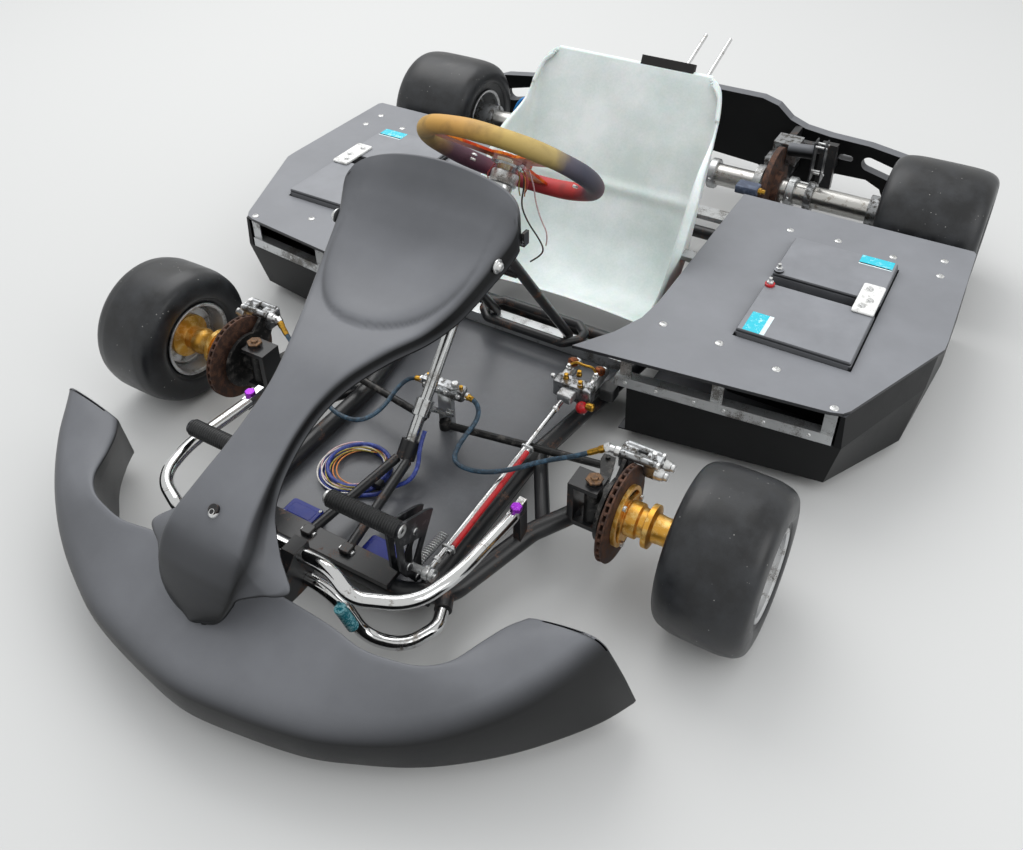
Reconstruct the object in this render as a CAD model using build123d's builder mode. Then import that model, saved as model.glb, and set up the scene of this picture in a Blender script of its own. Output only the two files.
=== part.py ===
"""Electric go-kart: bare tube chassis, two covered battery bays, bucket seat, nose and slick tyres.

Millimetres. +Z is up, -Y is the way the kart drives and +X is the driver's left.
The origin is on the ground, under the middle of the kart's overall length.
"""

from build123d import *
from math import atan2, cos, degrees, pi, radians, sin, sqrt, tan
import os

# Driving dimensions: wheels
wheelbase = 1045.0
front_axle_y = -371.0
front_wheel_x = 536.0
front_tyre_radius = 127.0
front_tyre_width = 138.0
rear_wheel_x = 600.0
rear_tyre_radius = 138.0
rear_tyre_width = 205.0
rim_lip_radius = 69.5
rim_barrel_radius = 62.0
rim_wall = 3.0
rim_disc_wall = 6.0
tyre_bead_radius = 65.0
tyre_wall = 15.0
front_shoulder = 26.0
rear_shoulder = 32.0
fit_gap = 0.3
running_gap = 0.05

# Driving dimensions: frame
tube_radius = 15.0
frame_z = 62.0
yoke_tube_z = 88.0
rail_past_axle = 105.0
rail_rear_y = wheelbase + rail_past_axle
rail_rear_x = 226.0
rail_front_x = 172.0
rail_front_y = -215.0
rear_axle_radius = 25.0
tray_wall = 2.5
beam_front_y = 380.0
beam_rear_y = 412.0
beam_top = 75.0
kingpin_x = 328.0
kingpin_radius = 5.0
yoke_half_height = 41.0
yoke_half_width = 20.0
yoke_plate = 8.0

# Driving dimensions: steering
column_tilt = 48.0
column_foot_y = -22.0
column_foot_z = 82.4
column_radius = 10.0
steering_wheel_radius = 147.0
steering_rim_radius = 16.0
wheel_along_column = 514.0
pitman_along_column = 83.2
pitman_radius = 50.0
pitman_joint_x = 24.0
pitman_plate = 5.0
tie_rod_radius = 6.5
tie_eye_radius = 10.0
tie_eye_half = 7.0
tie_rod_z = 97.0
arm_end_x = 302.0
arm_end_y = 105.0
stub_radius = 8.5

# Driving dimensions: brakes and driven axle
front_disc_x = 372.0
front_disc_radius = 76.0
front_disc_wall = 11.0
rear_disc_x = 256.0
rear_disc_radius = 92.0
rear_disc_wall = 12.0
sprocket_x = 186.0
sprocket_radius = 88.0
sprocket_wall = 8.0
nerf_reach = 640.0
nerf_radius = 12.0
nerf_bars_y = (470.0, 655.0)

# Driving dimensions: battery bays and body
deck_top_z = 200.0
deck_wall = 6.0
bay_floor_z = 30.0
bay_wall = 3.0
bay_rail_z = 150.0
battery_top_z = 215.0
battery_inner_x = 390.0
battery_outer_x = 590.0
battery_front_y = 396.0
battery_rear_y = 738.0
battery_gap = 16.0
window_gap = 2.0
seat_wall = 4.0
nose_floor_z = 40.0
panel_wall = 4.0
bar_radius = 10.0


def place(x, y, z):
    """A point given by its distance behind the front axle, moved to the kart's own origin."""
    return Vector(x, y + front_axle_y, z)


def across(y):
    """The plane across the kart at a distance behind the front axle; sketch x is +X, sketch y is up."""
    return Plane(origin=place(0, y, 0), x_dir=(1, 0, 0), z_dir=(0, -1, 0))


def beside(x, y=0.0, z=0.0):
    """The plane along the kart at x; sketch x is +Y (rearwards), sketch y is up, its normal is +X."""
    return Plane(origin=place(x, y, z), x_dir=(0, 1, 0), z_dir=(1, 0, 0))


def level(z):
    """The level plane at z, with its origin on the front axle."""
    return Plane(origin=place(0, 0, z), x_dir=(1, 0, 0), z_dir=(0, 0, 1))


def mirrored(points):
    """The same points on the kart's other side."""
    return [(-x, y, z) for x, y, z in points]


def bend_radii(points, share=0.45):
    """The largest arc at each inner corner: a share of the shorter run over the tangent of half the turn."""
    radii = []
    for before, corner, after in zip(points[:-2], points[1:-1], points[2:]):
        run_in = Vector(corner) - Vector(before)
        run_out = Vector(after) - Vector(corner)
        turn = radians(run_in.get_angle(run_out))
        radii.append(share * min(run_in.length, run_out.length) / tan(turn / 2))
    return radii


def bar(points, radius, bend=None):
    """Sweep a round bar through points behind the front axle, with one bend radius or the largest ones."""
    route = [place(*point) for point in points]
    if len(route) == 2:
        with BuildLine() as path:
            Line(*route)
    else:
        with BuildLine() as path:
            FilletPolyline(*route, radius=bend if bend else bend_radii(route))
    with BuildSketch(Plane(origin=path.line @ 0, z_dir=path.line % 0)) as section:
        Circle(radius)
    sweep(section.sketch, path=path.line)


def along_x(x0, x1, y, z, radius, mode=Mode.ADD):
    """A round bar across the kart, from x0 to x1."""
    with BuildSketch(beside(x0, y, z)) as section:
        Circle(radius)
    extrude(section.sketch, amount=x1 - x0, mode=mode)


def upright(x, y, z0, z1, radius, mode=Mode.ADD):
    """A round bar standing from z0 to z1."""
    with BuildSketch(level(z0)) as section:
        with Locations((x, y)):
            Circle(radius)
    extrude(section.sketch, amount=z1 - z0, mode=mode)


def block(x0, x1, y0, y1, z0, z1, mode=Mode.ADD):
    """A plain block between two corners."""
    with BuildSketch(level(z0)) as section:
        with Locations(((x0 + x1) / 2, (y0 + y1) / 2)):
            Rectangle(abs(x1 - x0), abs(y1 - y0))
    extrude(section.sketch, amount=z1 - z0, mode=mode)


def finish(builder, name):
    """Label a finished piece and write it."""
    builder.part.label = name
    export_step(builder.part, f"parts/{name}.step")


os.makedirs("parts", exist_ok=True)
tilt = radians(column_tilt)
column_way = Vector(0, cos(tilt), sin(tilt))
column_foot = place(0, column_foot_y, column_foot_z)
rear_axle_y = wheelbase
front_axle_z = front_tyre_radius
rear_axle_z = rear_tyre_radius


def column_plane(distance):
    """The plane square to the steering column; sketch x is +X, sketch y points down and rearwards."""
    return Plane(origin=column_foot + column_way * distance, x_dir=(1, 0, 0), z_dir=column_way)


# Tyres: a slick ring with round shoulders, as a half section turned about the wheel's axis
def tyre(x, y, z, radius, width, shoulder):
    """Turn one tyre about its axle; the section stands on the bead and is open to the rim."""
    half = width / 2
    bead_half = half - 12.0
    section_plane = Plane(origin=place(x, y, z), x_dir=(1, 0, 0), z_dir=(0, -1, 0))
    with BuildSketch(section_plane) as section:
        with BuildLine():
            Polyline(
                (-bead_half, tyre_bead_radius),
                (-half, tyre_bead_radius + 22.0),
                (-half, radius - shoulder),
            )
            ThreePointArc(
                (-half, radius - shoulder),
                (-half + shoulder * (1 - sin(pi / 4)), radius - shoulder * (1 - sin(pi / 4))),
                (-half + shoulder, radius),
            )
            Line((-half + shoulder, radius), (half - shoulder, radius))
            ThreePointArc(
                (half - shoulder, radius),
                (half - shoulder * (1 - sin(pi / 4)), radius - shoulder * (1 - sin(pi / 4))),
                (half, radius - shoulder),
            )
            Polyline(
                (half, radius - shoulder),
                (half, tyre_bead_radius + 22.0),
                (bead_half, tyre_bead_radius),
                (bead_half - tyre_wall, tyre_bead_radius),
                (half - tyre_wall, tyre_bead_radius + 22.0),
                (half - tyre_wall, radius - shoulder),
                (half - shoulder, radius - tyre_wall),
                (-half + shoulder, radius - tyre_wall),
                (-half + tyre_wall, radius - shoulder),
                (-half + tyre_wall, tyre_bead_radius + 22.0),
                (-bead_half + tyre_wall, tyre_bead_radius),
                (-bead_half, tyre_bead_radius),
            )
        make_face()
    revolve(section.sketch, axis=Axis(place(x, y, z), (1, 0, 0)))


def rim(x, y, z, width, disc_x, bore, side):
    """Turn one rim: a barrel with a lip at each end and a disc that bolts to the hub."""
    half = width / 2 - 8.0
    lip = 5.0
    outer = tyre_bead_radius - fit_gap
    section_plane = Plane(origin=place(x, y, z), x_dir=(1, 0, 0), z_dir=(0, -1, 0))
    with BuildSketch(section_plane) as section:
        with BuildLine():
            Polyline(
                (-half - lip, rim_barrel_radius),
                (-half - lip, rim_lip_radius),
                (-half, rim_lip_radius),
                (-half, outer),
                (half, outer),
                (half, rim_lip_radius),
                (half + lip, rim_lip_radius),
                (half + lip, rim_barrel_radius),
                (-half - lip, rim_barrel_radius),
            )
        make_face()
    revolve(section.sketch, axis=Axis(place(x, y, z), (1, 0, 0)))
    face_x = side * disc_x
    along_x(face_x, face_x + side * rim_disc_wall, y, z, rim_barrel_radius + 1.0)
    along_x(face_x, face_x + side * rim_disc_wall, y, z, bore, mode=Mode.SUBTRACT)


front_rim_disc_x = 500.0
hub_bore = 14.0
for side, hand in ((1, "left"), (-1, "right")):
    with BuildPart() as front_tyre:
        tyre(side * front_wheel_x, 0, front_axle_z, front_tyre_radius, front_tyre_width, front_shoulder)
    finish(front_tyre, f"front_tyre_{hand}")

    with BuildPart() as front_rim:
        rim(side * front_wheel_x, 0, front_axle_z, front_tyre_width, front_rim_disc_x, hub_bore, side)
    finish(front_rim, f"front_rim_{hand}")

# Front hub: a turned spool that carries the brake disc at its inner end and the rim at its outer end
disc_carrier_radius = 48.0
hub_neck_radius = 22.0
hub_flange_radius = 34.0
hub_inner_x = front_disc_x + front_disc_wall / 2 + fit_gap
hub_steps = (
    # x from, x to, radius
    (hub_inner_x, hub_inner_x + 7.0, disc_carrier_radius),
    (hub_inner_x + 7.0, 418.0, hub_neck_radius + 6.0),
    (418.0, 426.0, hub_flange_radius),
    (426.0, front_rim_disc_x - 8.0, hub_neck_radius),
    (front_rim_disc_x - 8.0, front_rim_disc_x, hub_flange_radius + 6.0),
)
for side, hand in ((1, "left"), (-1, "right")):
    with BuildPart() as front_hub:
        for x0, x1, radius in hub_steps:
            along_x(side * x0, side * x1, 0, front_axle_z, radius)
        along_x(side * hub_inner_x, side * (front_rim_disc_x + 1), 0, front_axle_z,
                stub_radius + running_gap, mode=Mode.SUBTRACT)
    finish(front_hub, f"front_hub_{hand}")

    with BuildPart() as front_disc:
        inner_face = front_disc_x - front_disc_wall / 2
        along_x(side * inner_face, side * (inner_face + front_disc_wall), 0, front_axle_z, front_disc_radius)
        along_x(side * inner_face, side * (inner_face + front_disc_wall), 0, front_axle_z,
                disc_carrier_radius - 12.0, mode=Mode.SUBTRACT)
    finish(front_disc, f"front_brake_disc_{hand}")

# Knuckle: upright barrel on the kingpin, stub axle, steering arm and brake bracket
barrel_radius = 14.0
yoke_inner_low = front_axle_z - yoke_half_height + yoke_plate
yoke_inner_high = front_axle_z + yoke_half_height - yoke_plate
arm_z = tie_rod_z + tie_eye_half + 2.5
arm_wall = 8.0
bracket_x = 351.0
bracket_wall = 6.0
bracket_radius = 50.0
caliper_y = 52.0
caliper_z = 66.0
for side, hand in ((1, "left"), (-1, "right")):
    with BuildPart() as knuckle:
        upright(side * kingpin_x, 0, yoke_inner_low + 1, yoke_inner_high - 1, barrel_radius)
        along_x(side * kingpin_x, side * (bracket_x + bracket_wall), 0, front_axle_z, barrel_radius)
        along_x(side * kingpin_x, side * (front_rim_disc_x + 10.0), 0, front_axle_z, stub_radius)
        with BuildSketch(beside(side * bracket_x, 0, front_axle_z)):
            Circle(bracket_radius)
            with BuildLine():
                Polyline((-12, 20), (caliper_y - 6, caliper_z - 4), (caliper_y + 22, caliper_z - 30),
                         (30, -25), (-12, 20))
            make_face()
        extrude(amount=side * bracket_wall)
        with BuildSketch(level(arm_z)):
            with BuildLine():
                Polyline(
                    (side * (kingpin_x - 6), 0),
                    (side * (kingpin_x - 7), yoke_half_width + 14),
                    (side * (arm_end_x - 10), arm_end_y - 6),
                    (side * (arm_end_x - 10), arm_end_y + 8),
                    (side * (arm_end_x + 10), arm_end_y + 8),
                    (side * (kingpin_x + 13), 0),
                    (side * (kingpin_x - 6), 0),
                )
            make_face()
        extrude(amount=arm_wall)
        upright(side * arm_end_x, arm_end_y, tie_rod_z + tie_eye_half + fit_gap, arm_z + 1, 7.0)
        upright(side * arm_end_x, arm_end_y, tie_rod_z - tie_eye_half - 4.0, arm_z + arm_wall + 5.0, 4.0)
        upright(side * kingpin_x, 0, yoke_inner_low, yoke_inner_high,
                kingpin_radius + running_gap, mode=Mode.SUBTRACT)
    finish(knuckle, f"knuckle_{hand}")

    with BuildPart() as caliper:
        gap = 1.5
        disc_in = front_disc_x - front_disc_wall / 2 - gap
        disc_out = front_disc_x + front_disc_wall / 2 + gap
        block(side * (disc_in - 26), side * (disc_out + 26), caliper_y - 4, caliper_y + 34,
              front_axle_z + caliper_z - 34, front_axle_z + caliper_z + 4)
        along_x(side * disc_in, side * disc_out, 0, front_axle_z, front_disc_radius + 2.0,
                mode=Mode.SUBTRACT)
        block(side * (disc_in - 27), side * (bracket_x + bracket_wall + fit_gap), caliper_y - 5,
              caliper_y + 35, front_axle_z + caliper_z - 35, front_axle_z + caliper_z - 3,
              mode=Mode.SUBTRACT)
        along_x(side * (disc_in - 40), side * (disc_in - 20), caliper_y + 6,
                front_axle_z + caliper_z - 5, 6.0)
        for step in (4.0, 26.0):
            along_x(side * (disc_out + 20), side * (disc_out + 38), caliper_y + step,
                    front_axle_z + caliper_z - 18, 7.0)
    finish(caliper, f"front_caliper_{hand}")

# Tie rods: a bar with an eye at each end, level from the steering plate to the steering arm
pitman_foot = column_foot + column_way * pitman_along_column
pitman_down = Vector(0, sin(tilt), -cos(tilt))
pitman_joint = pitman_foot + pitman_down * pitman_radius
stud_length = (pitman_joint.Z - tie_rod_z) / sin(tilt)
open_pivot_gap = 3.3
inner_eye = pitman_joint - column_way * stud_length
for side, hand in ((1, "left"), (-1, "right")):
    eye_in = Vector(side * pitman_joint_x, inner_eye.Y, tie_rod_z)
    eye_out = place(side * arm_end_x, arm_end_y, tie_rod_z)
    with BuildPart() as tie_rod:
        with BuildLine() as rod_line:
            Line(eye_in, eye_out)
        with BuildSketch(Plane(origin=eye_in, z_dir=rod_line.line % 0)):
            Circle(tie_rod_radius)
        sweep()
        for eye in (eye_in, eye_out):
            with BuildSketch(Plane(origin=eye - Vector(0, 0, tie_eye_half))):
                Circle(tie_eye_radius)
            extrude(amount=2 * tie_eye_half)
        with BuildSketch(Plane(origin=eye_in, z_dir=column_way)):
            Circle(4.0)
        extrude(amount=stud_length - pitman_plate / 2 - open_pivot_gap)
        with BuildSketch(Plane(origin=eye_out - Vector(0, 0, 20))):
            Circle(4.0 + running_gap)
        extrude(amount=40, mode=Mode.SUBTRACT)
    finish(tie_rod, f"tie_rod_{hand}")

# Steering column: shaft, plate for the tie rods and the hub under the wheel
hub_start = 400.0
wheel_plate = 5.0
with BuildPart() as steering_shaft:
    with BuildSketch(column_plane(0)):
        Circle(column_radius)
    extrude(amount=wheel_along_column - wheel_plate / 2)
    with BuildSketch(column_plane(hub_start)):
        Circle(19.0)
    extrude(amount=wheel_along_column - wheel_plate / 2 - hub_start)
    with BuildSketch(column_plane(wheel_along_column - wheel_plate / 2 - 8)):
        Circle(30.0)
    extrude(amount=8)
    with BuildSketch(column_plane(pitman_along_column - 14)):
        Circle(column_radius + 5)
    extrude(amount=28)
    with BuildSketch(column_plane(pitman_along_column - pitman_plate / 2)):
        with BuildLine():
            Polyline((-14, -4), (14, -4), (pitman_joint_x + 10, pitman_radius),
                     (pitman_joint_x, pitman_radius + 10), (-pitman_joint_x, pitman_radius + 10),
                     (-pitman_joint_x - 10, pitman_radius), (-14, -4))
        make_face()
    extrude(amount=pitman_plate)
    with BuildSketch(column_plane(pitman_along_column + pitman_plate / 2)):
        with Locations((-pitman_joint_x, pitman_radius), (pitman_joint_x, pitman_radius)):
            RegularPolygon(7.0, 6)
    extrude(amount=6)
finish(steering_shaft, "steering_shaft")

with BuildPart() as steering_plate:
    with BuildSketch(column_plane(wheel_along_column - wheel_plate / 2)):
        Circle(38.0)
        for turn in (0, 120, 240):
            with Locations(Location((0, 0, 0), (0, 0, 90 + turn))):
                with Locations(((steering_wheel_radius - steering_rim_radius + 4) / 2, 0)):
                    Rectangle(steering_wheel_radius - steering_rim_radius + 4, 34)
    extrude(amount=wheel_plate)
    with BuildSketch(column_plane(wheel_along_column)):
        Circle(steering_wheel_radius + steering_rim_radius + 5)
        Circle(steering_wheel_radius - steering_rim_radius - fit_gap, mode=Mode.SUBTRACT)
    extrude(amount=20, both=True, mode=Mode.SUBTRACT)
finish(steering_plate, "steering_wheel_spokes")

with BuildPart() as steering_rim:
    rim_plane = column_plane(wheel_along_column)
    with BuildSketch(Plane(origin=rim_plane.origin + Vector(steering_wheel_radius, 0, 0),
                           x_dir=(1, 0, 0), z_dir=rim_plane.y_dir)):
        Circle(steering_rim_radius)
    revolve(axis=Axis(rim_plane.origin, column_way))
finish(steering_rim, "steering_wheel_rim")

# Frame: side rails, front tube that carries the yokes, cross tubes and yokes with their kingpins
rail = [
    (rail_rear_x, rail_rear_y, frame_z),
    (rail_rear_x, 430.0, frame_z),
    (rail_front_x, 100.0, frame_z),
    (rail_front_x, rail_front_y, frame_z),
]
front_tube = [
    (kingpin_x - 27, 4.0, yoke_tube_z),
    (258.0, -60.0, yoke_tube_z - 6),
    (204.0, -205.0, frame_z),
    (140.0, -236.0, frame_z),
]
rear_cross_ahead = 140.0
cross_tubes_y = (446.0, wheelbase - rear_cross_ahead)
bumper_plug = (211.0, -232.0, frame_z)
bar_lug_y = -72.0
bar_lug_low = 142.0
with BuildPart() as frame:
    for points in (rail, mirrored(rail)):
        bar(points, tube_radius, bend=90.0)
    bar(front_tube + mirrored(front_tube)[::-1], tube_radius,
        bend=[60.0, 50.0, 40.0, 40.0, 50.0, 60.0])
    for cross_y in cross_tubes_y:
        along_x(-rail_rear_x, rail_rear_x, cross_y, frame_z, tube_radius - 1)
    for side in (1, -1):
        bar([(side * rail_front_x, 120.0, frame_z - 2), (side * 262.0, -34.0, yoke_tube_z - 18)],
            tube_radius - 3)
        block(side * (kingpin_x - 34), side * (kingpin_x - 24), -yoke_half_width, yoke_half_width,
              front_axle_z - yoke_half_height, front_axle_z + yoke_half_height)
        for low in (front_axle_z - yoke_half_height, yoke_inner_high):
            block(side * (kingpin_x - 30), side * (kingpin_x + 14), -yoke_half_width, yoke_half_width,
                  low, low + yoke_plate)
        upright(side * kingpin_x, 0, front_axle_z - yoke_half_height - 6,
                front_axle_z + yoke_half_height + 9, kingpin_radius)
        for low in (front_axle_z - yoke_half_height - 6, front_axle_z + yoke_half_height):
            with BuildSketch(level(low)):
                with Locations((side * kingpin_x, 0)):
                    RegularPolygon(13.0, 6)
            extrude(amount=6)
        bar([(side * 196.0, -200.0, frame_z), (side * bumper_plug[0], bumper_plug[1], frame_z)], 13.0)
        block(side * 244, side * 256, -92, bar_lug_y, yoke_tube_z - 8, bar_lug_low)
    for bar_y in nerf_bars_y:
        for side in (1, -1):
            along_x(side * rail_rear_x, side * nerf_reach, bar_y, frame_z, nerf_radius)
            for foot_x in (300, nerf_reach - 40):
                block(side * foot_x, side * (foot_x + 20), bar_y - 8, bar_y + 8,
                      bay_floor_z + bay_wall + fit_gap, frame_z)
finish(frame, "frame")

# Chrome bumper bars in front of the pedals, and the dark clamps that hold the nose to them
clamp_y = -333.0
upper_bar = [
    (250.0, -105.0, 152.0),
    (246.0, -240.0, 168.0),
    (225.0, -310.0, 172.0),
    (150.0, -344.0, 175.0),
    (112.0, clamp_y, 198.0),
]
lower_bar = [
    (bumper_plug[0], bumper_plug[1] - 2, frame_z),
    (222.0, -262.0, 66.0),
    (203.0, -312.0, 71.0),
    (150.0, -328.0, 75.0),
    (112.0, clamp_y, 150.0),
]
with BuildPart() as bumper_bars:
    bar(upper_bar + mirrored(upper_bar)[::-1], bar_radius)
    bar(lower_bar + mirrored(lower_bar)[::-1], bar_radius)
    for side in (1, -1):
        block(side * 244, side * 256, -112, bar_lug_y, bar_lug_low, 162)
finish(bumper_bars, "front_bumper_bars")

# Clamps on the middle of the bars: their front faces carry the nose fairing
nose_top_z = 180.0
nose_inner_top_y = -385.0
nose_inner_low_y = -420.0
nose_face_slope = (nose_inner_top_y - nose_inner_low_y) / (nose_top_z - nose_floor_z)
clamp_face_y = nose_inner_top_y + 1.5
with BuildPart() as nose_clamps:
    for side in (1, -1):
        with BuildSketch(beside(side * 44)) as clamp:
            with BuildLine():
                Polyline(
                    (clamp_y + 14, 136),
                    (clamp_y + 14, 212),
                    (clamp_y - 14, 212),
                    (clamp_face_y - 8 * nose_face_slope, nose_top_z - 8),
                    (clamp_face_y - 40 * nose_face_slope, nose_top_z - 40),
                    (clamp_y - 14, 136),
                    close=True,
                )
            make_face()
        extrude(clamp.sketch, amount=side * 22)
        for z in (198.0, 150.0):
            along_x(side * 43, side * 67, clamp_y, z, bar_radius + fit_gap, mode=Mode.SUBTRACT)
    bar([(0.0, clamp_y - 4, 209.0), (0.0, -388.0, 292.0)], 6.0)
    block(-12, 12, clamp_y - 13, clamp_y + 13, 186, 212)
    along_x(-13, 13, clamp_y, 198.0, bar_radius + fit_gap, mode=Mode.SUBTRACT)
    bar([(0.0, -388.0, 292.0), (0.0, -399.0, 309.0)], 3.6)
    bar([(0.0, -396.3, 307.4), (0.0, -399.0, 311.6)], 7.0)
finish(nose_clamps, "nose_clamps")

# Column support: two legs, cross bars, the upper bearing and the bracket under the front panel
leg_x = 80.0
leg_foot_y = 394.0
leg_radius = 9.0
upper_bearing_along = 338.0
panel_bracket_y = 122.0
panel_bracket_z = 455.0
panel_tab_x = 145.2
with BuildPart() as column_support:
    for side in (1, -1):
        bar([(side * leg_x, leg_foot_y, 86.0), (side * leg_x, panel_bracket_y, panel_bracket_z)], leg_radius)
        block(side * (leg_x - 7), side * (leg_x + 7), leg_foot_y - 7, leg_foot_y + 7, beam_top, 88.0)
    upper_point = column_foot + column_way * upper_bearing_along
    along_x(-leg_x, leg_x, upper_point.Y - front_axle_y, upper_point.Z, 8.0)
    with BuildSketch(column_plane(upper_bearing_along - 12)):
        Circle(column_radius + 9)
    extrude(amount=24)
    with BuildSketch(column_plane(upper_bearing_along - 30)):
        Circle(column_radius + running_gap)
    extrude(amount=60, mode=Mode.SUBTRACT)
    block(-panel_tab_x, panel_tab_x, panel_bracket_y - 8, panel_bracket_y + 6,
          panel_bracket_z - 2, panel_bracket_z + 2)
    for side in (1, -1):
        block(side * (panel_tab_x - 5), side * panel_tab_x, panel_bracket_y - 8, panel_bracket_y + 6,
              panel_bracket_z - 2, panel_bracket_z + 20)
finish(column_support, "column_support")

# Pedal mount: plate on the front tube, struts back to the lower bearing of the column
mount_front_y = -252.0
mount_rear_y = -214.0
mount_half = 130.0
mount_low = frame_z + tube_radius + fit_gap
mount_top = 86.0
lower_bearing_length = 26.0
bearing_wall = 6.0
with BuildPart() as pedal_mount:
    block(-mount_half, mount_half, mount_front_y, mount_rear_y, mount_low, mount_top)
    bar([(-10.0, -34.0, 82.0), (-30.0, -230.0, 84.0)], 8.0)
    bar([(10.0, -34.0, 82.0), (42.0, -230.0, 84.0)], 8.0)
    with BuildSketch(column_plane(-6)):
        Circle(column_radius + bearing_wall)
    extrude(amount=lower_bearing_length + 6)
    with BuildSketch(column_plane(0)):
        Circle(column_radius + running_gap)
    extrude(amount=lower_bearing_length + 6, mode=Mode.SUBTRACT)
finish(pedal_mount, "pedal_mount")

# Pedals: two side plates joined by bolts, with a grip bar across the top
pedal_outline = [
    (-196.0, 60.0), (-210.0, 60.0), (-240.0, 114.0), (-242.0, 186.0), (-229.0, 201.0),
    (-172.0, 176.0), (-156.0, 164.0), (-192.0, 108.0),
]
pedal_window = [(-213.0, 96.0), (-229.0, 124.0), (-229.0, 158.0), (-187.0, 136.0)]
pedal_bolts = ((-201.0, 161.0), (-223.0, 109.0), (-206.0, 70.0))
pedal_plate = 4.0
pedal_plates_x = (mount_half, mount_half + 16.0)
brake_grip = (24.0, 150.0, -229.0, 188.0)
throttle_grip = (-245.0, -134.0, -224.0, 196.0)


def pedal(side, grip):
    """One pedal: the outline in two plates, the bolts between them and the bar for the foot."""
    for x in pedal_plates_x:
        with BuildSketch(beside(side * x)) as outline:
            with BuildLine():
                Polyline(*pedal_outline, close=True)
            make_face()
            with BuildLine():
                Polyline(*pedal_window, close=True)
            make_face(mode=Mode.SUBTRACT)
        extrude(outline.sketch, amount=side * pedal_plate)
    for y, z in pedal_bolts:
        along_x(side * mount_half, side * (pedal_plates_x[1] + pedal_plate + 4), y, z, 5.0)
    along_x(grip[0], grip[1], grip[2], grip[3], 11.0)


with BuildPart() as brake_pedal:
    pedal(1, brake_grip)
finish(brake_pedal, "brake_pedal")

with BuildPart() as throttle_pedal:
    pedal(-1, throttle_grip)
finish(throttle_pedal, "throttle_pedal")

# Brake pushrod from the pedal to the twin master cylinders
rod_x = 174.0
with BuildPart() as brake_rod:
    bar([(rod_x, -214.0, 100.0), (rod_x, 192.0, 114.0)], 5.0)
    along_x(pedal_plates_x[1] + pedal_plate, rod_x + 6, -214.0, 100.0, 6.0)
finish(brake_rod, "brake_pushrod")

cylinders_x = (150.0, 202.0)
with BuildPart() as master_cylinder:
    block(140, 214, 216, 244, 96, 128)
    for x in cylinders_x:
        with BuildSketch(across(240)) as barrel:
            with Locations((x, 114)):
                Circle(10)
        extrude(barrel.sketch, amount=-44)
        with BuildSketch(across(284)) as nut:
            with Locations((x, 114)):
                RegularPolygon(9, 6)
        extrude(nut.sketch, amount=-14)
    block(186, 204, 218, 242, mount_low, 97)
    block(212, 240, 252, 282, 88, 112)
    block(204, 214, 236, 262, 96, 108)
    block(rod_x - 14, rod_x + 14, 194, 217, 106, 122)
    upright(206, 203, 92, 118, 11)
    block(196, 206, 203, 217, 98, 112)
finish(master_cylinder, "master_cylinders")

# Brake splitter behind the column, with one hose to each front caliper
splitter_front_y = 86.0
splitter_rear_y = 106.0
splitter_low = 130.0
splitter_half = 42.0
hose_radius = 4.0
hose_y = 96.0
hose_z = 140.0
with BuildPart() as brake_splitter:
    block(-splitter_half, splitter_half, splitter_front_y, splitter_rear_y, splitter_low, splitter_low + 22)
    block(-14, 14, splitter_front_y + 6, splitter_rear_y, frame_z - tube_radius - fit_gap, splitter_low)
    for x in (-22, 22):
        upright(x, hose_y, splitter_low + 21, splitter_low + 31, 7)
finish(brake_splitter, "brake_splitter")

hose_route = [
    (splitter_half + fit_gap, hose_y, hose_z),
    (64.0, 96.0, 140.0),
    (82.0, 76.0, 124.0),
    (78.0, 20.0, 113.0),
    (92.0, -24.0, 114.0),
    (139.0, -30.0, 120.0),
    (182.0, -7.0, 124.0),
    (226.0, 28.0, 138.0),
    (288.0, 40.0, 170.0),
    (322.4, 58.0, 188.0),
]
for side, hand in ((1, "left"), (-1, "right")):
    with BuildPart() as brake_hose:
        bar(hose_route if side == 1 else mirrored(hose_route), hose_radius)
    finish(brake_hose, f"brake_hose_{hand}")

# Aluminium beam across the floor, floor tray and the rounded loop in front of the seat
with BuildPart() as cross_beam:
    block(-198, 198, beam_front_y, beam_rear_y, 52, beam_top)
    block(-199, 199, beam_front_y + 3, beam_rear_y + 1, 51, beam_top - 3, mode=Mode.SUBTRACT)
finish(cross_beam, "cross_beam")

with BuildPart() as floor_tray:
    with BuildSketch(level(frame_z - tube_radius - fit_gap - tray_wall)) as tray:
        with BuildLine():
            Polyline((-182, -228), (182, -228), (182, 104), (224, 395), (-224, 395), (-182, 104), close=True)
        make_face()
    extrude(tray.sketch, amount=tray_wall)
finish(floor_tray, "floor_tray")

loop_route = [(82, 366), (106, 390), (106, 412), (84, 432), (-84, 432), (-106, 412), (-106, 390), (-82, 366)]
with BuildPart() as seat_loop:
    with BuildLine() as loop:
        FilletPolyline(*[place(x, y, beam_top + 9.5) for x, y in loop_route], radius=12, close=True)
    with BuildSketch(Plane(origin=loop.line @ 0, z_dir=loop.line % 0)) as ring:
        Circle(9)
    sweep(ring.sketch, path=loop.line)
finish(seat_loop, "seat_front_loop")

with BuildPart() as control_boxes:
    block(45, 106, -218, -172, frame_z - tube_radius - fit_gap, 70)
    block(-110, -48, -210, -172, frame_z - tube_radius - fit_gap, 68)
finish(control_boxes, "control_boxes")

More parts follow.
